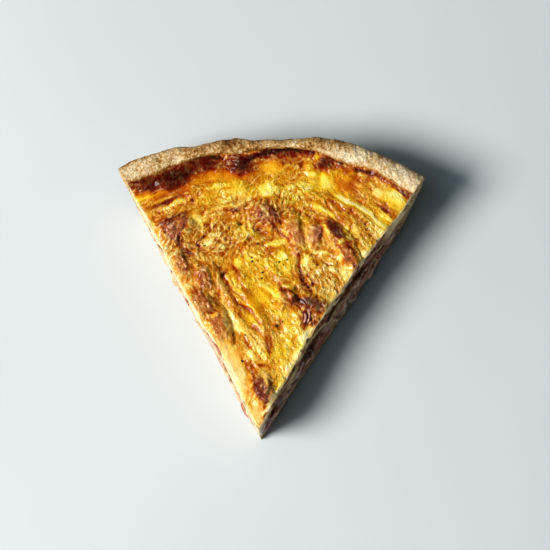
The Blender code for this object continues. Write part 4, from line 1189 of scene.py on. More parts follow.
def baked_egg_group():
    """Bake in, colour out: cream, yellow, gold, brown, maroon, burnt. Toast makes it tan and dry.

    A net of fine wrinkles lies over it. Its ridges are painted paler, as a painted highlight, and its
    hollows browner, as painted shade. The film-and-glint input, a pale dried film with painted glints, makes
    it paler still and mixes in cream. The net goes out as a height too, so that the bump fits the colour.
    """
    build, start, end = new_group(
        "Baked egg", {"Bake": 0.4, "Toast": 0.0, "Crinkle": 1.0, "Bloom": 0.0},
        {"Colour": COLOUR, "Net": FLOAT},
    )
    nets = []
    for scale, sharpness in ((560.0, 7.0), (1150.0, 6.0)):
        wave = build.math("ABSOLUTE", centred_noise(build, scale, 2.0, 0.5, 0.3))
        valley = build.times(wave, sharpness)
        nets.append(build.minus(1.0, valley, clamp=True))
    net = build.math("MULTIPLY_ADD", nets[1], 0.5, build.times(nets[0], 0.5))
    lifted = build.times(build.minus(net, 0.42), start["Crinkle"])
    bake = build.math("MULTIPLY_ADD", lifted, -0.12, start["Bake"])
    bake = build.math("MULTIPLY_ADD", centred_noise(build, 1900.0, 3.0, 0.6), 0.12, bake)
    bake = build.math("MULTIPLY_ADD", start["Bloom"], -0.10, bake, clamp=True)
    baked = build.mix(start["Toast"], build.ramp(bake, *BAKED_STOPS), build.ramp(bake, *DRIED_STOPS))
    # Painted glint: cream mixed in where the film-and-glint input is high.
    bright = build.times(start["Bloom"], 0.42, clamp=True)
    baked = build.mix(bright, baked, colour(255, 222, 128))
    build.fill(end, {"Colour": baked, "Net": net})
    return build.tree


BAKED_EGG = baked_egg_group()
print(BAKED_EGG.name, "has", len(BAKED_EGG.nodes), "nodes")

# %% Oven grain and fat film
def oven_grain_group():
    """Fine relief for a bump."""
    build, start, end = new_group("Oven grain", {"Scale": 1500.0, "Coarse Share": 0.5}, {"Height": FLOAT})
    fine_noise = build.noise(start["Scale"], 4.0, 0.65)
    third = build.times(start["Scale"], 0.31)
    broad_noise = build.noise(third, 3.0, 0.6, 0.6)
    build.fill(end, {"Height": build.blend(start["Coarse Share"], fine_noise, broad_noise)})
    return build.tree


def fat_film_group():
    """Where fat or egg leaves the surface wet: a coat weight and a roughness."""
    build, start, end = new_group(
        "Fat film", {"Wet": 0.5, "Dry Roughness": 0.6, "Wet Roughness": 0.25},
        {"Coat": FLOAT, "Roughness": FLOAT},
    )
    pools = build.remap(build.noise(420.0, 3.0, 0.6, 0.4), 0.38, 0.62, 0.35, 1.0)
    wet = build.times(pools, start["Wet"], clamp=True)
    rough = build.blend(wet, start["Dry Roughness"], start["Wet Roughness"])
    build.fill(end, {"Coat": wet, "Roughness": rough})
    return build.tree


OVEN_GRAIN, FAT_FILM = oven_grain_group(), fat_film_group()
print([(group.name, len(group.nodes)) for group in (OVEN_GRAIN, FAT_FILM)])

# %% Cooked meat
MEAT_STOPS = (
    (0.00, 44, 6, 4), (0.15, 98, 16, 6), (0.35, 150, 46, 18),
    (0.55, 184, 94, 62), (0.75, 212, 146, 108), (1.00, 236, 204, 168),
)


def meat_group():
    """Tone in, colour out: charred edge, red-brown lean, pink, pale fat."""
    build, start, end = new_group("Cooked meat", {"Tone": 0.5}, {"Colour": COLOUR})
    fibres = centred_noise(build, 1000.0, 5.0, 0.7, 0.8)
    tone = build.math("MULTIPLY_ADD", fibres, 0.55, start["Tone"], clamp=True)
    salt_and_glints = build.remap(build.noise(2300.0, 3.0, 0.65, 0.4), 0.54, 0.68, 0.0, 0.45)  # pale specks: dried salt and fat, and painted glints
    speckled = build.mix(salt_and_glints, build.ramp(tone, *MEAT_STOPS), colour(232, 178, 146))
    build.fill(end, {"Colour": speckled})
    return build.tree


COOKED_MEAT = meat_group()
print(COOKED_MEAT.name, "has", len(COOKED_MEAT.nodes), "nodes")

# %% Making a material from the groups
def new_material(name):
    """An empty material: its tree builder and its shader."""
    material = bpy.data.materials.new(name)
    material.use_nodes = True
    build = Tree(material.node_tree)
    return material, build, material.node_tree.nodes["Principled BSDF"]


def use_group(build, group, **inputs):
    """The outputs of a group that is placed in a material with its own values."""
    return build.node("ShaderNodeGroup", inputs, node_tree=group).outputs


def finish_shader(build, shader, base, roughness, coat, bump, **constants):
    """Links what varies over the surface, and sets what doesn't on the shader itself.

    bump is the height, its strength, and its distance in metres.
    """
    bump = build.add("ShaderNodeBump", dict(zip(("Height", "Strength", "Distance"), bump)))
    inputs = {"Base Color": base, "Roughness": roughness, "Coat Weight": coat}
    build.fill(shader, inputs | {"Normal": bump} | constants)


def painted_crevice_shade(build, base, brown, dark):
    """Painted shade: the base, browner and then near black where a cut face's crevices, bubbles and hollows
    are painted as lying in shade.
    """
    shade = build.attribute("shade")
    base = build.mix(build.remap(shade, 0.0, 0.5), base, colour(*brown))
    return build.mix(build.remap(shade, 0.4, 1.0), base, colour(*dark))


print(len(bpy.data.node_groups), "groups are ready for the materials")

# %% [markdown]
# The egg custard
#
# The custard is the whole slice to the eye. Its top reads the skin's sheet point by point, its two cut faces
# read theirs, and its edges are rounded a little, because a knife drags soft egg over the edge. The left
# cut, in the window's light, is painted a little paler. It is one closed body with nearly a hundred and
# ninety thousand triangles.

# %% The finish of the custard
def custard_material():
    material, build, shader = new_material("egg_custard")
    grain = use_group(build, OVEN_GRAIN, Scale=1900.0, Coarse_Share=0.35)
    film = use_group(
        build, FAT_FILM, Wet=build.attribute("wet"), Dry_Roughness=0.6, Wet_Roughness=0.45,
    )
    crinkle, bloom, cut = (build.attribute(name) for name in ("crinkle", "bloom", "cut"))
    baked = use_group(
        build, BAKED_EGG, Bake=build.attribute("bake"), Toast=build.attribute("toast"),
        Crinkle=crinkle, Bloom=bloom,
    )
    meat, meat_share = use_group(build, COOKED_MEAT, Tone=build.attribute("tone")), build.attribute("meat")
    ridges = build.times(bloom, 0.45)  # painted glints on the meat's ridges, as on the egg
    lean = build.mix(ridges, meat["Colour"], colour(248, 206, 152))
    top = build.mix(meat_share, baked["Colour"], lean)
    curd = build.mottle((243, 203, 134), (254, 233, 184), 700.0, 3.0, 0.6)
    # painted light: the left cut, lit by the window, is painted whiter
    curd = build.mix(build.attribute("pale"), curd, colour(255, 241, 208))
    curd = build.mix(meat_share, curd, meat["Colour"])
    # painted shade in the cut face's crevices, bubbles and hollows
    curd = painted_crevice_shade(build, curd, (128, 72, 28), (26, 12, 5))
    net = build.times(baked["Net"], build.minus(1.0, cut))
    height = build.math("MULTIPLY_ADD", grain["Height"], 0.5, build.times(net, crinkle))
    gloss = build.times(film["Coat"], build.remap(cut, 0.0, 1.0, 1.0, 0.2))
    finish_shader(
        build, shader, build.mix(cut, top, curd), film["Roughness"], gloss, (height, 0.9, 0.0006),
        Coat_Roughness=0.13, Specular_IOR_Level=0.03,
    )
    return material


CUSTARD = custard_material()
print("the custard's finish has", len(CUSTARD.node_tree.nodes), "nodes")

# %% The form of the filling
CUSTARD_ROWS, CUSTARD_LEVELS = 330, 40
SKIN_LAYERS = ("bake", "toast", "wet", "crinkle", "bloom", "meat", "tone")
EDGE_ROUND = 0.75
LEFT_PAINTED_LIGHT = 0.35  # how much paler the left cut is painted, as painted light from the window
LOW_SIDE = 0.15  # how far the custard reaches into the layer below, so that no gap shows
WALL_OVERLAP = 0.25  # how far the filling reaches into the pastry wall
ON_TOP, AT_CUT = 0.999, 1e-6  # which points count as lying on the skin, and on a cut face


def filling_spot(row, rows, u, find_z):
    """Place of filling points on row of rows, at the height that find_z gives."""
    share = row / rows
    z = find_z(0.0 * share, 100.0 * share)
    r = FILLING_TIP + share * (FLOOR_REACH - FILLING_TIP)
    for _ in range(3):
        angle = angle_of(u, r, z)
        r = FILLING_TIP + share * (inner_reach(angle, z) + WALL_OVERLAP - FILLING_TIP)
        z = find_z(r * np.sin(angle), r * np.cos(angle))
    angle = angle_of(u, r, z, face_relief)
    return r, r * np.sin(angle), r * np.cos(angle), z


def layer_top(x, y):
    """Height of the wavy boundary between the packed layer and the egg."""
    return LAYER_TOP + LAYER_WAVE * noise_at(x, y, 21.0, 15.0)


def custard_form(row, u, t):
    """From the wavy layer top at t = 0 to the skin at t = 1."""

    def find_z(x, y):
        low = layer_top(x, y) - LOW_SIDE
        return low + (skin.read("height", x, y) - low) * t

    r, x, y, z = filling_spot(row, CUSTARD_ROWS, u, find_z)
    top = t > ON_TOP
    from_cut = (1.0 - np.abs(u)) * r * HALF_ANGLE
    into = limited(1.0 - from_cut / EDGE_ROUND)
    z = z - np.where(top, EDGE_ROUND * (1.0 - np.sqrt(1.0 - 0.98 * into**2)), 0.0)
    cut = np.where(top, 0.9 * into**3, 1.0)
    shade = np.zeros_like(cut)
    attributes = {key: skin.read(key, x, y) for key in SKIN_LAYERS}
    for side in (-1, 1):
        here = (np.abs(u - side) < AT_CUT) & ~top
        shade[here] = faces[side].read("shade", r[here], z[here])
        for key in ("meat", "tone"):
            attributes[key][here] = faces[side].read(key, r[here], z[here])
    pale = np.where(u < 0.0, LEFT_PAINTED_LIGHT, 0.0)
    attributes.update(cut=cut, shade=limited(shade), pale=pale)
    return x, y, z, attributes


print("the egg starts", round(float(layer_top(np.array(0.0), np.array(60.0))), 1), "mm up in the middle")

# %% The custard itself
custard = wedge_mesh("egg_custard", CUSTARD_ROWS, CUSTARD_LEVELS, custard_form)
dress(custard, CUSTARD, "custard", "custard")

# %% [markdown]
# The layer of bacon and onion
#
# Only its cut faces are seen. It is a wedge like the custard, its faces pushed in and out by the chunks that
# were painted above, and coloured by the same sheets: red-brown meat, pale onion, and egg darkened with
# painted shade in the crevices. On the left, in the window's light, it is painted paler.

# %% The finish of the layer
def layer_material():
    material, build, shader = new_material("bacon_and_onion")
    grain = use_group(build, OVEN_GRAIN, Scale=1300.0, Coarse_Share=0.5)
    film = use_group(build, FAT_FILM, Wet=0.9, Dry_Roughness=0.5, Wet_Roughness=0.2)
    bound = build.mottle((176, 128, 62), (222, 186, 112), 500.0, 4.0, 0.6)
    meat = use_group(build, COOKED_MEAT, Tone=build.attribute("tone"))
    onion = build.mottle((196, 150, 120), (232, 214, 176), 900.0, 3.0, 0.6)
    # painted light: the left cut, lit by the window, is painted whiter
    bound = build.mix(build.attribute("pale"), bound, colour(243, 222, 180))
    base = build.mix(build.attribute("meat"), bound, meat["Colour"])
    base = build.mix(build.attribute("onion"), base, onion)
    # painted shade in the cut face's crevices, bubbles and hollows
    base = painted_crevice_shade(build, base, (128, 72, 30), (30, 13, 6))
    finish_shader(
        build, shader, base, film["Roughness"], film["Coat"], (grain["Height"], 0.5, 0.0004),
        Coat_Roughness=0.18, Specular_IOR_Level=0.12,
    )
    return material


LAYER = layer_material()
print("the layer's finish has", len(LAYER.node_tree.nodes), "nodes")

# %% The layer itself
LAYER_ROWS, LAYER_LEVELS = 330, 36
# how much paler the layer's left cut is painted, as painted light from the window
LAYER_LEFT_PAINTED_LIGHT = 0.6


def layer_form(row, u, t):
    """From the pastry floor at t = 0 to the wavy layer top at t = 1."""

    def find_z(x, y):
        return FLOOR_THICK + (layer_top(x, y) - FLOOR_THICK) * t

    r, x, y, z = filling_spot(row, LAYER_ROWS, u, find_z)
    attributes = {key: np.zeros_like(r) for key in ("meat", "tone", "onion", "shade")}
    for side in (-1, 1):
        here = np.abs(u - side) < AT_CUT
        for key, values in attributes.items():
            values[here] = limited(faces[side].read(key, r[here], z[here]))
    attributes["pale"] = np.where(u < 0.0, LAYER_LEFT_PAINTED_LIGHT, 0.0)
    return x, y, z, attributes


layer = wedge_mesh("bacon_onion_layer_cut", LAYER_ROWS, LAYER_LEVELS, layer_form)
dress(layer, LAYER, "bacon_and_onion", "bacon_onion_layer")

# %% [markdown]
# The pastry
#
# One sheet of pastry, bent up at the heel, flared by the tin and pressed along the rim by
# fingers. Seen from outside it is matt and floury, with a fine crumb, smoother on the wall where
# it lay against the tin. It browns where it stands thin and high, and the egg that boiled over
# its inner edge stayed there as a glaze and as dark marks.

# %% The form of the pastry
CRUST_FLOOR_ROWS, CRUST_WALL_ROWS, CRUST_LEVELS = 180, 130, 24
CRUST_ROWS = CRUST_FLOOR_ROWS + CRUST_WALL_ROWS
HEEL_SHARE, SIDE_SHARE = 0.12, 0.72  # the shares of the wall's rows where the heel and the side end


def crust_under(row, angle):
    """Outside of the pastry: along the floor, round the heel, up the side, over the lip."""
    heel = FLOOR_REACH - HEEL_ROUND
    reach, _ = rim_at(angle)
    wall_top = reach - LIP_ROUND
    climb = limited((row - CRUST_FLOOR_ROWS) / CRUST_WALL_ROWS)
    turn = math.pi / 2.0 * limited(climb / HEEL_SHARE)
    side = limited((climb - HEEL_SHARE) / (SIDE_SHARE - HEEL_SHARE))
    lip = math.pi / 2.0 * limited((climb - SIDE_SHARE) / (1.0 - SIDE_SHARE))
    r = heel * limited(row / CRUST_FLOOR_ROWS) + HEEL_ROUND * np.sin(turn)
    r = r + (wall_top - FLOOR_REACH) * side + LIP_ROUND * (1.0 - np.cos(lip))
    z = HEEL_ROUND * (1.0 - np.cos(turn)) + (LIP_UNDER_Z - HEEL_ROUND) * side
    return r, z + (LIP_SIDE_Z - LIP_UNDER_Z) * np.sin(lip)


def crust_upper(row, angle):
    """Inside of the pastry: along the floor and straight up to the custard's edge."""
    foot = FLOOR_REACH - WALL_THICK
    climb = limited((row - CRUST_FLOOR_ROWS) / CRUST_WALL_ROWS)
    z = FLOOR_THICK + (INNER_EDGE_Z - FLOOR_THICK) * climb
    on_floor = row <= CRUST_FLOOR_ROWS
    return np.where(on_floor, foot * row / CRUST_FLOOR_ROWS, inner_reach(angle, z)), z


print("the wall is", round(float(crust_under(CRUST_ROWS, np.array(0.0))[1]), 1), "mm high outside")

# %% Where the pastry is toasted
# Toasted or stained places along the rim: angle, share over the rim (0 outer, 1 inner), half width
# in degrees, half width over, amount.
TOASTED = (
    (-22, 0.30, 5, 0.30, 0.12), (-8.5, 0.35, 2.4, 0.35, 0.34), (-28, 0.15, 3, 0.2, 0.2),
    (1, 0.2, 4, 0.3, 0.14), (9.5, 0.4, 2, 0.4, 0.2), (3.4, 0.1, 0.7, 0.14, 0.55),
    (16.5, 0.6, 3, 0.2, -0.1), (26.5, 0.55, 3.6, 0.3, -0.16), (10.5, 0.3, 3, 0.3, 0.12),
    (-4, 0.5, 5, 0.5, 0.17), (5, 0.6, 5, 0.5, 0.18), (-15, 0.5, 2.6, 0.4, 0.2),
    (13, 0.25, 1.4, 0.2, 0.22),
)
# Stains that boiled over the inner edge: angle, half width in degrees, amount.
STAINS = (
    (-26, 3.6, 0.55), (-20, 3.4, 0.7), (-14, 3.2, 0.55), (-6.4, 3, 0.45), (3, 5, 0.45), (15, 3.4, 0.4),
    (24, 2.2, 0.5),
)
PLAIN_BAKE = 0.29  # the bake of most of the pastry


def crust_bake(angle, r, z, share, at_rim):
    """How far each place of the pastry is toasted: 0 floury, 1 dark."""
    degrees = np.degrees(angle)
    around = r * angle
    over = np.where(at_rim, share, 0.0)
    bake = PLAIN_BAKE + 0.2 * noise_at(around, z + r, 31.0, 9.0) + 0.12 * noise_at(around, z + r, 37.0, 2.2)
    bake = bake + 0.10 * smooth_step(z, 26.0, 31.0) * (1.0 - smooth_step(over, 0.05, 0.3))
    bake = bake + 0.10 * smooth_step(z, 26.0, 18.0)
    # A thin darker line along the rim's outer edge.
    bake = bake + 0.28 * np.where(at_rim, hill(over, 0.05, 0.05), 0.0)
    inner = smooth_step(over + 0.08 * noise_at(around, r, 83.0, 1.6), 0.86, 1.0)
    bake = bake + 0.14 * np.where(at_rim, inner, 0.0)
    for at, across, half, half_over, amount in TOASTED:
        spot = np.exp(-(((degrees - at) / half) ** 2) - ((over - across) / half_over) ** 2)
        bake = bake + amount * spot * smooth_step(z, 23.0, 30.0)
    ragged = 0.10 * noise_at(around, 0.0 * z, 77.0, 3.0) + 0.06 * noise_at(around, r, 79.0, 1.0)
    for at, half, amount in STAINS:
        near = hill(degrees, at, half) * smooth_step(over + ragged, 0.72, 0.98)
        bake = bake + np.where(at_rim, amount * near, 0.0)
    return limited(bake)


print(len(TOASTED), "toasted places and", len(STAINS), "stains")

# %% The pastry's relief
WALL_SPECKLE, RIM_SPECKLE = 1.2, 2.1  # the tin kept the wall smoother than the rim


def crust_form(row, u, t):
    """From the inside of the pastry at t = 0 to its underside, the fine sheet, at t = 1."""
    share = 1.0 - t
    angle = angle_of(u, FLOOR_REACH * row / CRUST_ROWS, FLOOR_THICK * share)
    at_rim = row > CRUST_ROWS - 0.5
    for _ in range(3):
        under_r, under_z = crust_under(row, angle)
        upper_r, upper_z = crust_upper(row, angle)
        arch = math.pi * share
        rim_r = (under_r + upper_r) / 2.0 + (under_r - upper_r) / 2.0 * np.cos(arch)
        r = np.where(at_rim, rim_r, mixed(under_r, upper_r, share))
        z = mixed(under_z, upper_z, share) + np.where(at_rim, RIM_ARCH * np.sin(arch), 0.0)
        angle = angle_of(u, r, z)
    around = r * angle
    outside = (share < 0.02) | at_rim
    knead = smooth_step(z, 4.0, 20.0) * outside
    dents = 0.35 * noise_at(around, z, 5.0, 5.0) + 0.26 * noise_at(around, z + 0.8 * r, 43.0, 1.8)
    grit = 0.2 * noise_at(around, z + r, 47.0, 0.8)
    lift = at_rim * np.sin(math.pi * share)
    r = r + knead * (dents + grit)
    along = 1.3 * r
    z = z + lift * (0.56 * noise_at(around, z, 17.0, 9.0) + 0.45 * noise_at(around, along, 51.0, 2.6))
    z = z + lift * (0.22 * noise_at(around, along, 57.0, 1.1) + 0.25 * noise_at(around, along, 59.0, 1.9))
    floor_bump = smooth_step(share, 0.02, 0.0) * smooth_step(z, 0.3, 0.0)
    z = z + 0.22 * floor_bump * smooth_step(noise_at(around, r, 63.0, 5.0), 0.1, 0.5)
    at_cut = np.abs(np.abs(u) - 1.0) < AT_CUT
    cut = np.where(at_cut, np.where(at_rim, 0.5, smooth_step(share, 0.0, 0.18)), 0.0)
    speckle = mixed(WALL_SPECKLE, RIM_SPECKLE, smooth_step(z, 22.0, 29.0))
    reached = share + 0.07 * noise_at(around, along, 53.0, 2.2) + 0.04 * noise_at(around, along, 55.0, 0.8)
    egg = 0.75 * at_rim * smooth_step(reached, 0.80, 0.97)  # where the egg boiled over the inner edge
    bake = crust_bake(angle, r, z, share, at_rim)
    attributes = {"bake": bake, "cut": cut, "speckle": speckle, "egg": egg}
    return r * np.sin(angle), r * np.cos(angle), z, attributes

# %% The finish of the pastry
PASTRY_STOPS = (
    (0.00, 244, 228, 196), (0.20, 228, 202, 158), (0.40, 201, 159, 98),
    (0.58, 160, 108, 44), (0.78, 106, 58, 18), (1.00, 54, 18, 8),
)


def toasted_pastry_group():
    """Bake in, colour out, with the speckle of flour and crumb."""
    build, start, end = new_group("Toasted pastry", {"Bake": 0.3, "Speckle": 0.3}, {"Colour": COLOUR})
    crumb, blotch = centred_noise(build, 900.0, 5.0, 0.8), centred_noise(build, 260.0, 3.0, 0.6)
    bake = build.math("MULTIPLY_ADD", crumb, start["Speckle"], start["Bake"])
    bake = build.math("MULTIPLY_ADD", blotch, 0.6, bake, clamp=True)
    build.fill(end, {"Colour": build.ramp(bake, *PASTRY_STOPS)})
    return build.tree


def pastry_material(toasted_pastry):
    material, build, shader = new_material("baked_pastry")
    grain = use_group(build, OVEN_GRAIN, Scale=1100.0, Coarse_Share=0.4)
    toasted = use_group(
        build, toasted_pastry, Bake=build.attribute("bake"), Speckle=build.attribute("speckle"),
    )
    inside = build.mottle((196, 156, 98), (232, 206, 158), 900.0, 4.0, 0.65)
    base = build.mix(build.attribute("egg"), toasted["Colour"], colour(178, 118, 32))
    base = build.mix(build.attribute("cut"), base, inside)
    finish_shader(
        build, shader, base, 0.82, 0.0, (grain["Height"], 0.9, 0.0016), Specular_IOR_Level=0.15,
    )
    return material


PASTRY = pastry_material(toasted_pastry_group())
print("the pastry's finish has", len(PASTRY.node_tree.nodes), "nodes")

# %% The pastry itself
crust = wedge_mesh("pastry_case", CRUST_ROWS, CRUST_LEVELS, crust_form)
dress(crust, PASTRY, "pastry", "crust")

# %% [markdown]
# Lardons
#
# A lardon is a short stick of smoked bacon: stripes of red lean and pale fat, with corners that
# the oven rounded. The solids are rough blocks with soft corners, so the same formula on a much
# finer grid keeps their form. Fine ridges along the length are the fibres. Where a knife passed,
# every point beyond the cut is pushed back onto it, which leaves a flat face and a closed body.

# %% Points of a lardon
LUMPINESS, LUMPS_ACROSS = 0.14, 1.3
LARDON_CUTS = 22


def block_grid(cuts):
    """Points and triangles of a cube whose faces are cut into small squares."""
    bm = bmesh.new()
    bmesh.ops.create_cube(bm, size=2.0)
    bmesh.ops.subdivide_edges(bm, edges=bm.edges, cuts=cuts, use_grid_fill=True)
    bmesh.ops.triangulate(bm, faces=bm.faces)
    points = np.array([v.co for v in bm.verts])
    triangles = np.array([[v.index for v in f.verts] for f in bm.faces])
    bm.free()
    return points, triangles


def noise_in(points, seed, length=1.0):
    """Noise at points in space, pushed along Z by the seed."""
    places = points / length + np.array((0.0, 0.0, seed))
    return np.array([noise.noise(place) for place in places.tolist()])


BLOCK, BLOCK_TRIANGLES = block_grid(LARDON_CUTS)


def lardon_points(length, width, height, seed):
    """(points, fat): a soft-cornered block along X, and where its stripes are fat."""
    spread = (np.abs(BLOCK) ** SQUARENESS).sum(axis=1) ** (1.0 / SQUARENESS)
    unit = BLOCK / spread[:, None]
    lump = 1.0 + LUMPINESS * noise_in(unit * LUMPS_ACROSS, seed)
    points = unit * np.array((length, width, height)) / 2.0 * lump[:, None]
    fibres = noise_in(points * np.array((0.35, 1.0, 1.0)), seed + 5.0, 0.75)
    crinkle = noise_in(points, seed + 9.0, 1.7)
    points = points + unit * (0.10 * fibres + 0.16 * crinkle)[:, None]
    across = points[:, 2] + 0.5 * points[:, 1] + 1.9 * noise_in(points, seed + 3.0, 3.2)
    fat = smooth_step(np.sin(1.5 * across + seed), 0.3, 0.95)
    return points, fat


print("a lardon has", len(BLOCK), "points")

# %% Setting a piece in a cut face
SUNK_SHARE, CUT_SPAN, EDGE_PROUD = 0.25, 3.0, 0.5


def on_face(side, r, z):
    """(angle, point) of a cut face at a distance from the tip and a height."""
    angle = side * (HALF_ANGLE - float(cut_lean(side, np.array(r), np.array(z))) / max(r, 1.0))
    return angle, np.array((r * math.sin(angle), r * math.cos(angle), z))


def cut_plane(side, r, z):
    """A point of the cut face, and the direction straight out of the slice there."""
    here = on_face(side, r, z)[1]
    along, up = on_face(side, r + CUT_SPAN, z)[1] - here, on_face(side, r, z + CUT_SPAN)[1] - here
    out = np.cross(along, up)
    return here, side * out / np.linalg.norm(out)


def pushed_back(points, r, z, proud):
    """(points, beyond): points beyond either cut are pushed back onto it."""
    touched = np.zeros(len(points))
    for side in (-1, 1):
        here, out = cut_plane(side, r, z)
        beyond = np.maximum((points - here) @ out - proud, 0.0)
        points = points - beyond[:, None] * out
        touched = np.maximum(touched, (beyond > 0.0) * 1.0)
    return points, touched


def turned(points, degrees, axis):
    matrix = np.array(Matrix.Rotation(math.radians(degrees), 3, axis))
    return points @ matrix.T


def set_in_face(points, side, r, z, deep, proud):
    """Sinks a piece in a cut face, its Y into the slice, and cuts it off there."""
    points = points + np.array((0.0, side * deep * SUNK_SHARE, 0.0))
    angle, here = on_face(side, r, z)
    return pushed_back(turned(points, 90.0 - math.degrees(angle), "Z") + here, r, z, proud)


print("the right cut leans out at", cut_plane(1, 60.0, 15.0)[1].round(2))

# %% [markdown]
# The finish of the bacon
#
# Three things meet on one lardon: lean that browned, fat that stayed pale, and egg that baked
# onto it. The meat group colours the first two, and the baked egg group, the same that colours
# the skin, takes over wherever egg lies. So no edge shows where a lardon leaves the custard.

# %% The finish of the bacon
def bacon_material():
    material, build, shader = new_material("smoked_bacon")
    grain = use_group(build, OVEN_GRAIN, Scale=1500.0, Coarse_Share=0.5)
    film = use_group(build, FAT_FILM, Wet=0.65, Dry_Roughness=0.6, Wet_Roughness=0.45)
    meat = use_group(build, COOKED_MEAT, Tone=build.attribute("tone"))
    baked = use_group(
        build, BAKED_EGG, Bake=build.attribute("bake"), Toast=0.6, Crinkle=1.4, Bloom=0.2,
    )
    base = build.mix(build.attribute("egg"), meat["Colour"], baked["Colour"])
    fibres = build.times(grain["Height"], 0.6)
    height = build.math("MULTIPLY_ADD", baked["Net"], 0.8, fibres)
    finish_shader(
        build, shader, base, film["Roughness"], film["Coat"], (height, 1.0, 0.0008),
        Coat_Roughness=0.17, Specular_IOR_Level=0.12,
    )
    return material


BACON = bacon_material()
print("the bacon's finish has", len(BACON.node_tree.nodes), "nodes")

# %% The bacon in the skin
for name, px, py, length, width, height, turn, proud, tone, egg in TOP_BACON:
    seed = len(name) * 3.0 + px
    points, fat = lardon_points(length, width, height, seed)
    skin_z = bacon_heights[name]
    points = turned(points, turn, "Z") + np.array((px, py, skin_z - height / 2.0 + proud))
    points, cut = pushed_back(points, math.hypot(px, py), skin_z, EDGE_PROUD)
    x, y, z = points.T
    ragged = 0.55 * noise_in(points, seed + 13.0, 1.6) + 0.3 * noise_in(points, seed + 17.0, 0.7)
    above = z - skin.read("height", x, y) + ragged
    covered = 1.0 - smooth_step(above, 0.1 + 0.5 * egg, 0.4 + egg)
    lean = skin.read("tone", x, y) + 0.6 * tone * fat - 0.1 + 0.1 * ragged
    attributes = {
        "tone": limited(lean),
        "egg": limited(covered * (1.0 - cut)),
        "bake": limited(skin.read("bake", x, y) + 0.10),
    }
    dress(new_piece(name + "_lardon", points.T, BLOCK_TRIANGLES, attributes), BACON, "bacon", name)

# %% The bacon at the cuts
# Bacon at the cuts: name, side, distance from the tip, height, length, width, deep, turn,
# how proud, tone.
# The tones on the left cut are paler, as painted light from the window.
CUT_BACON = (
    ("bacon_right_rim", 1, 103, 10.4, 15, 7.4, 9, 8, 0.5, 0.46),
    ("bacon_right_back", 1, 84.5, 10.2, 12, 8.2, 9, -12, 1.4, 0.56),
    ("bacon_right_middle", 1, 51.5, 11, 14, 6.6, 9, 12, 0.6, 0.42),
    ("bacon_right_front", 1, 38.5, 8.8, 9.5, 6.4, 8, -8, 0.4, 0.52),
    ("bacon_right_tip", 1, 13, 10.6, 8, 5.8, 5, 8, 0.5, 0.36),
    ("bacon_right_high", 1, 92.5, 23.4, 10, 5.2, 8, 14, 0.5, 0.50),
    ("bacon_left_rim", -1, 100.5, 10.6, 13, 7.8, 9, -10, 0.5, 0.68),
    ("bacon_left_back", -1, 75, 9.8, 15, 6.6, 9, 6, 0.7, 0.62),
    ("bacon_left_middle", -1, 55.5, 10.4, 10.5, 8, 9, -14, 0.5, 0.72),
    ("bacon_left_front", -1, 37.5, 9.8, 12.5, 6.2, 8, 9, 0.5, 0.66),
    ("bacon_left_tip", -1, 13, 11.4, 8.5, 3.4, 6, -6, 2.2, 0.78),
    ("bacon_left_high", -1, 45.5, 22.6, 10.5, 5.4, 8, -7, 0.5, 0.66),
)

for name, side, r, z, length, width, deep, turn, proud, tone in CUT_BACON:
    seed = len(name) * 5.0 + r
    points, fat = lardon_points(length, deep, width, seed)
    points, cut = set_in_face(turned(points, turn, "Y"), side, r, z, deep, proud)
    dent = cut * (0.10 * noise_in(points, seed, 0.9) - 0.10)
    points = points + dent[:, None] * cut_plane(side, r, z)[1]
    attributes = {
        "tone": limited(tone + 0.3 * fat - 0.1 * (1.0 - cut)),
        "egg": np.zeros(len(points)),
        "bake": np.full(len(points), 0.4),
    }
    dress(new_piece(name + "_lardon", points.T, BLOCK_TRIANGLES, attributes), BACON, "bacon", name)

# %% [markdown]
# Onion petals by Geometry Nodes
#
# A ring of onion, cut and cooked, opens into petals: thin curved strips. That is a profile swept
# along an arc, which is what Curve to Mesh does, so one node tree makes all six from their own
# radius, arc and depth. The scale along the sweep thins each petal towards its ends.

# %% Making and running a tree
def geometry_tree(name, inputs):
    """An empty tree with a geometry socket at each end and named inputs: (kind, value)."""
    tree = bpy.data.node_groups.new(name, "GeometryNodeTree")
    tree.interface.new_socket("Geometry", in_out="INPUT", socket_type="NodeSocketGeometry")
    for label, (kind, value) in inputs.items():
        tree.interface.new_socket(label, in_out="INPUT", socket_type=kind).default_value = value
    tree.interface.new_socket("Geometry", in_out="OUTPUT", socket_type="NodeSocketGeometry")
    build = Tree(tree)
    return build, build.node("NodeGroupInput").outputs, build.node("NodeGroupOutput")


def finish_tree(build, geometry, end, material):
    """Makes instances real and gives them their material."""
    real = build.add("GeometryNodeRealizeInstances", {"Geometry": geometry})
    dressed = build.add("GeometryNodeSetMaterial", {"Geometry": real, "Material": material})
    build.fill(end, {"Geometry": dressed})
    return build.tree


def run_tree(name, tree, values, places=((0.0, 0.0, 0.0),)):
    """Runs a tree on a few points: the points and triangles of the plain mesh that it makes."""
    seedbed = bpy.data.meshes.new(name + "_points")
    seedbed.from_pydata(list(places), [], [])
    holder = bpy.data.objects.new(name + "_points", seedbed)
    bpy.context.scene.collection.objects.link(holder)
    modifier = holder.modifiers.new("tree", "NODES")
    modifier.node_group = tree
    for item in tree.interface.items_tree:
        if item.in_out == "INPUT" and item.name in values:
            modifier[item.identifier] = values[item.name]
    ready = holder.evaluated_get(bpy.context.evaluated_depsgraph_get())
    mesh = bpy.data.meshes.new_from_object(ready)
    holder.modifiers.remove(modifier)
    mesh.calc_loop_triangles()
    points = np.array([vertex.co for vertex in mesh.vertices])
    triangles = np.array([triangle.vertices for triangle in mesh.loop_triangles])
    bpy.data.objects.remove(holder)
    for spent in (seedbed, mesh):
        bpy.data.meshes.remove(spent)
    return points, triangles

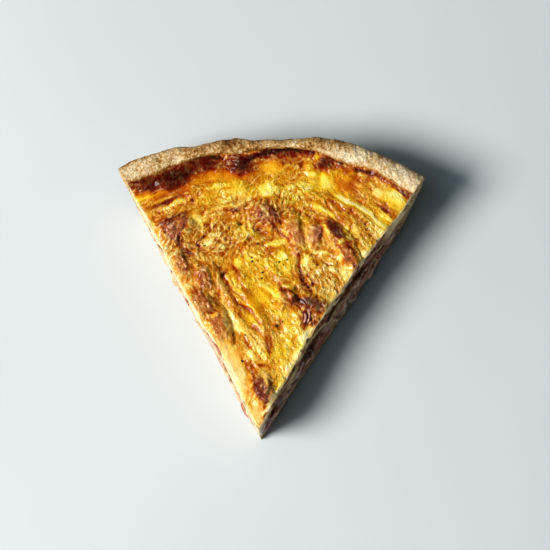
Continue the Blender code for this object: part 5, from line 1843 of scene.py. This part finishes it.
# %% The petal tree
def petal_tree(material):
    """An arc of this radius, swept with a thin upright profile."""
    sizes = {"Radius": 5.0, "Middle": 0.0, "Half Arc": 0.6, "Thickness": 1.2, "Depth": 6.0, "Thinning": 0.3}
    build, start, end = geometry_tree("Onion petal", {k: (FLOAT, v) for k, v in sizes.items()})
    first = build.minus(start["Middle"], start["Half Arc"])
    sweep = build.times(start["Half Arc"], 2.0)
    arc = {"Resolution": 40, "Radius": start["Radius"], "Start Angle": first, "Sweep Angle": sweep}
    arc = build.add("GeometryNodeCurveArc", arc)
    upright = build.add("GeometryNodeSetCurveNormal", {"Curve": arc}, mode="Z_UP")
    profile = {"Width": start["Thickness"], "Height": start["Depth"]}
    profile = build.add("GeometryNodeCurvePrimitiveQuadrilateral", profile)
    corner = build.times(start["Thickness"], 0.49)
    rounded = {"Curve": profile, "Count": 6, "Radius": corner}
    rounded = build.add("GeometryNodeFilletCurve", rounded, mode="POLY")
    fine = {"Curve": rounded, "Count": 44}
    fine = build.add("GeometryNodeResampleCurve", fine, mode="COUNT")
    factor = build.add("GeometryNodeSplineParameter")
    along = build.minus(build.times(factor, 2.0), 1.0)
    end_share = build.math("POWER", build.math("ABSOLUTE", along), 4.0)
    scale = build.minus(1.0, build.times(end_share, start["Thinning"]))
    swept = {"Curve": upright, "Profile Curve": fine, "Scale": scale, "Fill Caps": True}
    swept = build.add("GeometryNodeCurveToMesh", swept)
    return finish_tree(build, swept, end, material)

# %% The finish of the onion
def onion_material():
    material, build, shader = new_material("cooked_red_onion")
    grain = use_group(build, OVEN_GRAIN, Scale=1700.0, Coarse_Share=0.4)
    film = use_group(build, FAT_FILM, Wet=1.0, Dry_Roughness=0.36, Wet_Roughness=0.16)
    veins = build.noise(650.0, 4.0, 0.6, 0.5)
    purple = build.ramp(veins, (0.3, 86, 8, 28), (0.55, 130, 24, 50), (0.8, 176, 88, 104))
    flesh = build.ramp(veins, (0.3, 140, 70, 66), (0.7, 206, 160, 140))
    base = build.mix(build.attribute("flesh"), purple, flesh)
    finish_shader(
        build, shader, base, film["Roughness"], film["Coat"], (grain["Height"], 0.35, 0.0003),
        Coat_Roughness=0.14, Specular_IOR_Level=0.35,
    )
    return material


ONION = onion_material()
PETALS = petal_tree(ONION)
print("the petal tree has", len(PETALS.nodes), "nodes")

# %% The onion petals themselves
# Onion in the skin: name, x, y, radius, direction and half arc in degrees, how proud.
TOP_ONION = (
    ("onion_top_outer", 15.6, 51.2, 4.9, 0, 36, 1.3), ("onion_top_inner", 15.6, 50.4, 3.2, 0, 42, 1.2),
)
PETAL_THICK, PETAL_DEEP = 1.2, 6.0
CUT_PETAL_ARC, CUT_PETAL_DEEP, ARC_DROP = 62.0, 8.0, 0.45


def make_petal(name, radius, middle, half_arc, deep, place):
    """Runs the petal tree, roughens the strip, places it by place(points) and dresses it."""
    sizes = {"Radius": radius, "Middle": math.radians(middle), "Half Arc": math.radians(half_arc)}
    points, triangles = run_tree(name, PETALS, sizes | {"Thickness": PETAL_THICK, "Depth": deep})
    depth_share = (np.hypot(points[:, 0], points[:, 1]) - radius) / (PETAL_THICK / 2.0)
    flesh = 1.0 - smooth_step(depth_share, -0.2, 0.9)
    points = points + 0.07 * noise_in(points, radius, 1.1)[:, None] * np.array((1.0, 1.0, 0.4))
    dress(new_piece(name + "_petal", place(points).T, triangles, {"flesh": flesh}), ONION, "onion", name)


for name, px, py, radius, middle, half_arc, proud in TOP_ONION:
    low = float(broad_skin(np.array(px - radius), np.array(py))) - PETAL_DEEP / 2.0 + proud
    r, level = math.hypot(px, py), float(broad_skin(np.array(px), np.array(py)))
    make_petal(
        name, radius, middle, half_arc, PETAL_DEEP,
        lambda points: pushed_back(points + np.array((px, py, low)), r, level, EDGE_PROUD)[0],
    )


def stood_in_face(points, side, r, z, radius):
    """A petal stood on its end in the cut face, with its arc showing."""
    points = turned(points, 90.0, "X") - np.array((0.0, 0.0, radius * ARC_DROP))
    return set_in_face(points, side, r, z, CUT_PETAL_DEEP, EDGE_PROUD)[0]


for name, side, r, z, radius, middle in CUT_ONION:
    make_petal(
        name, radius, middle, CUT_PETAL_ARC, CUT_PETAL_DEEP,
        lambda points: stood_in_face(points, side, r, z, radius),
    )

# %% [markdown]
# Pepper and crumbs by Geometry Nodes
#
# Ground pepper lies on the skin as tiny black and brown chips, and the knife left crumbs on the pastry's cut
# ends. Both are one small shape repeated many times on given points, each turned and sized at random from a
# fixed seed. The points that matter are listed one by one, and the rest are scattered. A chip has only
# twenty faces, because nobody can see more of it.

# %% The scatter tree
def scatter_tree(name, material):
    """A rough chip on every point."""
    sizes = {"Size": (FLOAT, 0.5), "Spread": (FLOAT, 0.4), "Flatness": (FLOAT, 0.5)}
    build, start, end = geometry_tree(name, sizes | {"Seed": ("NodeSocketInt", 3)})
    chip = build.add("GeometryNodeMeshIcoSphere", {"Radius": 0.5, "Subdivisions": 1})
    where = build.add("GeometryNodeInputPosition")
    bumps = build.add("ShaderNodeTexNoise", {"Vector": where, "Scale": 1.7}, "Color")
    offset = {0: bumps, 1: (0.5, 0.5, 0.5)}
    offset = build.add("ShaderNodeVectorMath", offset, operation="SUBTRACT")
    rough = build.add("GeometryNodeSetPosition", {"Geometry": chip, "Offset": offset})
    turns = {0: (0.0, 0.0, 0.0), 1: (0.5, 0.5, 6.28), "Seed": start["Seed"]}
    turns = build.add("FunctionNodeRandomValue", turns, data_type="FLOAT_VECTOR")
    low = build.minus(1.0, start["Spread"])
    high = build.math("ADD", 1.0, start["Spread"])
    drawn = {2: low, 3: high, "Seed": start["Seed"]}
    drawn = build.add("FunctionNodeRandomValue", drawn, 1, data_type="FLOAT")
    size = build.times(drawn, start["Size"])
    flat = build.times(size, start["Flatness"])
    scale = {0: size, 1: build.times(size, 0.6), 2: flat}
    scale = build.add("ShaderNodeCombineXYZ", scale)
    placed = {"Points": start["Geometry"], "Instance": rough, "Rotation": turns, "Scale": scale}
    placed = build.add("GeometryNodeInstanceOnPoints", placed)
    return finish_tree(build, placed, end, material)


def scatter(name, places, material, slot, **values):
    """Runs a scatter tree on places in slice millimetres and dresses the result."""
    tree = scatter_tree(name.title(), material)
    points, triangles = run_tree(name, tree, values, places.tolist())
    piece = new_piece(name, points.T, triangles, {"bake": 0.35 + 0.25 * noise_in(points, 3.0, 2.0)})
    piece.data.shade_flat()
    dress(piece, material, slot)

# %% Pepper
# Pepper given one by one: x, y.
PEPPER_AT = (
    (-51.2, 87.3), (-27.7, 81.1), (-12.5, 91.7), (-17.4, 89.6), (-4.1, 83.0), (-6.5, 76.6), (-6.2, 75.0),
    (-29.9, 71.6), (-20.6, 71.5), (-35.3, 70.0), (-1.3, 70.2), (-1.6, 67.6), (9.2, 76.4), (12.3, 77.4),
    (36.8, 68.3), (-7.6, 41.7), (-6.9, 35.9), (6.0, 46.2), (-8.5, 30.0), (-5.9, 94.6),
)
LOOSE_PEPPER = 7  # chips that are scattered besides
PEPPER_ANGLE, PEPPER_REACH = 26.0, 110.0  # none lies nearer to the cuts or to the rim


def pepper_material():
    material, build, shader = new_material("ground_pepper")
    base = build.ramp(build.noise(2600.0, 3.0, 0.7), (0.35, 14, 9, 6), (0.7, 56, 36, 20))
    bump = (build.noise(5000.0), 0.5, 0.0002)
    finish_shader(build, shader, base, 0.6, 0.0, bump, Specular_IOR_Level=0.3)
    return material


draw = np.random.default_rng(11)
loose = draw.normal((-4.0, 76.0), (17.0, 15.0), (LOOSE_PEPPER, 2))
x, y = np.vstack((np.array(PEPPER_AT), loose)).T
inside = (np.abs(np.degrees(np.arctan2(x, y))) < PEPPER_ANGLE) & (np.hypot(x, y) < PEPPER_REACH)
x, y = x[inside], y[inside]
pepper_places = np.column_stack((x, y, skin.read("height", x, y) + 0.08))
scatter("pepper", pepper_places, pepper_material(), None, Size=1.3, Spread=0.5, Flatness=0.6, Seed=5)
print(len(pepper_places), "chips of pepper")

# %% Crumbs
CRUMBS = 520
CRUMB_LOW = 0.7  # the lowest a crumb's middle lies, so that none goes through the floor

crumb_places = []
for _ in range(CRUMBS):
    side = draw.choice((-1, 1))
    share, row = draw.uniform(0.0, 1.0), draw.uniform(8.0, CRUST_ROWS)
    angle = np.array(side * HALF_ANGLE)
    for _ in range(3):
        under_r, under_z = crust_under(row, angle)
        upper_r, upper_z = crust_upper(row, angle)
        r, z = mixed(under_r, upper_r, share), mixed(under_z, upper_z, share)
        angle = side * (HALF_ANGLE - cut_lean(side, r, z) / np.maximum(r, 1.0))
    place = (r * np.sin(angle), r * np.cos(angle), max(z, CRUMB_LOW))
    crumb_places.append([float(value) for value in place])
crumb_places = np.array(crumb_places)
scatter("crumbs", crumb_places, PASTRY, "pastry", Size=0.75, Spread=0.5, Flatness=0.8, Seed=9)
print(len(crumb_places), "crumbs, the lowest at", crumb_places[:, 2].min(), "mm")

# %% [markdown]
# The floor, the light and the camera
#
# The photograph was taken from nearly straight above with a long lens. Light came from a window
# on the left, so the right cut lies in its own shade. A pale panel overhead stands for the bright
# room: it softens the shadow, and as it makes no highlights, it doesn't veil the colours. A faint
# lamp low on the right keeps the shaded cut readable, as light thrown back by a wall would.

# %% The floor
def floor_material():
    material, build, shader = new_material("pale_floor")
    tone = build.mottle((194, 201, 206), (200, 207, 212), 6.0, 3.0, 0.5)
    build.fill(shader, {"Base Color": tone, "Roughness": 0.6})
    return material


HALF_FLOOR = 3.0  # in metres
floor_mesh = bpy.data.meshes.new("floor")
floor_corners = [(HALF_FLOOR * x, HALF_FLOOR * y, 0.0) for x, y in ((-1, -1), (1, -1), (1, 1), (-1, 1))]
floor_mesh.from_pydata(floor_corners, [], [(0, 1, 2, 3)])
floor = bpy.data.objects.new("floor", floor_mesh)
floor_mesh.materials.append(floor_material())
bpy.context.scene.collection.objects.link(floor)
print("a floor", 2 * HALF_FLOOR, "m wide")

# %% The light
def aimed(eye, target, up=Vector((0.0, 0.0, 1.0))):
    """Where a camera or a lamp stands, looking at a target."""
    back = (eye - target).normalized()
    right = up.cross(back).normalized()
    above = back.cross(right)
    turn = Matrix((right, above, back)).transposed().to_4x4()
    return Matrix.Translation(eye) @ turn


def area_light(name, eye, size, watts, tint, glossy=True):
    """A round lamp, aimed at the slice."""
    data = bpy.data.lights.new(name, "AREA")
    data.shape = "DISK"
    data.size = size
    data.energy = watts
    data.color = tint
    lamp = bpy.data.objects.new(name, data)
    lamp.matrix_world = aimed(Vector(eye), Vector((0.0, 0.0, 0.02)))
    lamp.visible_glossy = glossy
    bpy.context.scene.collection.objects.link(lamp)


area_light("window", (-1.24, -0.42, 1.4), 0.9, 57.0, (1.0, 0.955, 0.88))
area_light("room", (-1.1, -0.35, 1.8), 2.0, 12.0, (0.60, 0.84, 1.0), glossy=False)
area_light("bounce", (1.3, -1.3, 0.12), 0.2, 0.5, (0.95, 0.98, 0.92), glossy=False)
world = bpy.data.worlds.new("studio")
world.use_nodes = True
sky = world.node_tree.nodes["Background"].inputs
sky["Color"].default_value, sky["Strength"].default_value = (0.58, 0.83, 1.0, 1.0), 0.04
bpy.context.scene.world = world
bpy.context.scene.view_settings.view_transform = "Standard"
print(len(bpy.data.lights), "lamps")

# %% The camera
PICTURE_PIXELS, PIXEL_MM = 550, 0.4423
PICTURE_TURN = math.radians(2.77)
CAMERA_AWAY, CAMERA_LEAN = 1.6, math.radians(11.2)
CAMERA_SIDE = Vector((0.27, -0.96, 0.0)).normalized()
target = Vector((4.2 * MM, (69.2 - TIP_BACK) * MM, 30.5 * MM))
eye = target + CAMERA_AWAY * (CAMERA_SIDE * math.sin(CAMERA_LEAN) + Vector((0, 0, math.cos(CAMERA_LEAN))))
camera_data = bpy.data.cameras.new("camera")
camera_data.lens = camera_data.sensor_width * CAMERA_AWAY / (PICTURE_PIXELS * PIXEL_MM * MM)
camera = bpy.data.objects.new("camera", camera_data)
picture_up = Vector((-math.sin(PICTURE_TURN), math.cos(PICTURE_TURN), 0.0))
camera.matrix_world = aimed(eye, target, picture_up)
bpy.context.scene.collection.objects.link(camera)
bpy.context.scene.camera = camera
print(f"lens {camera_data.lens:.0f} mm at {CAMERA_AWAY} m")
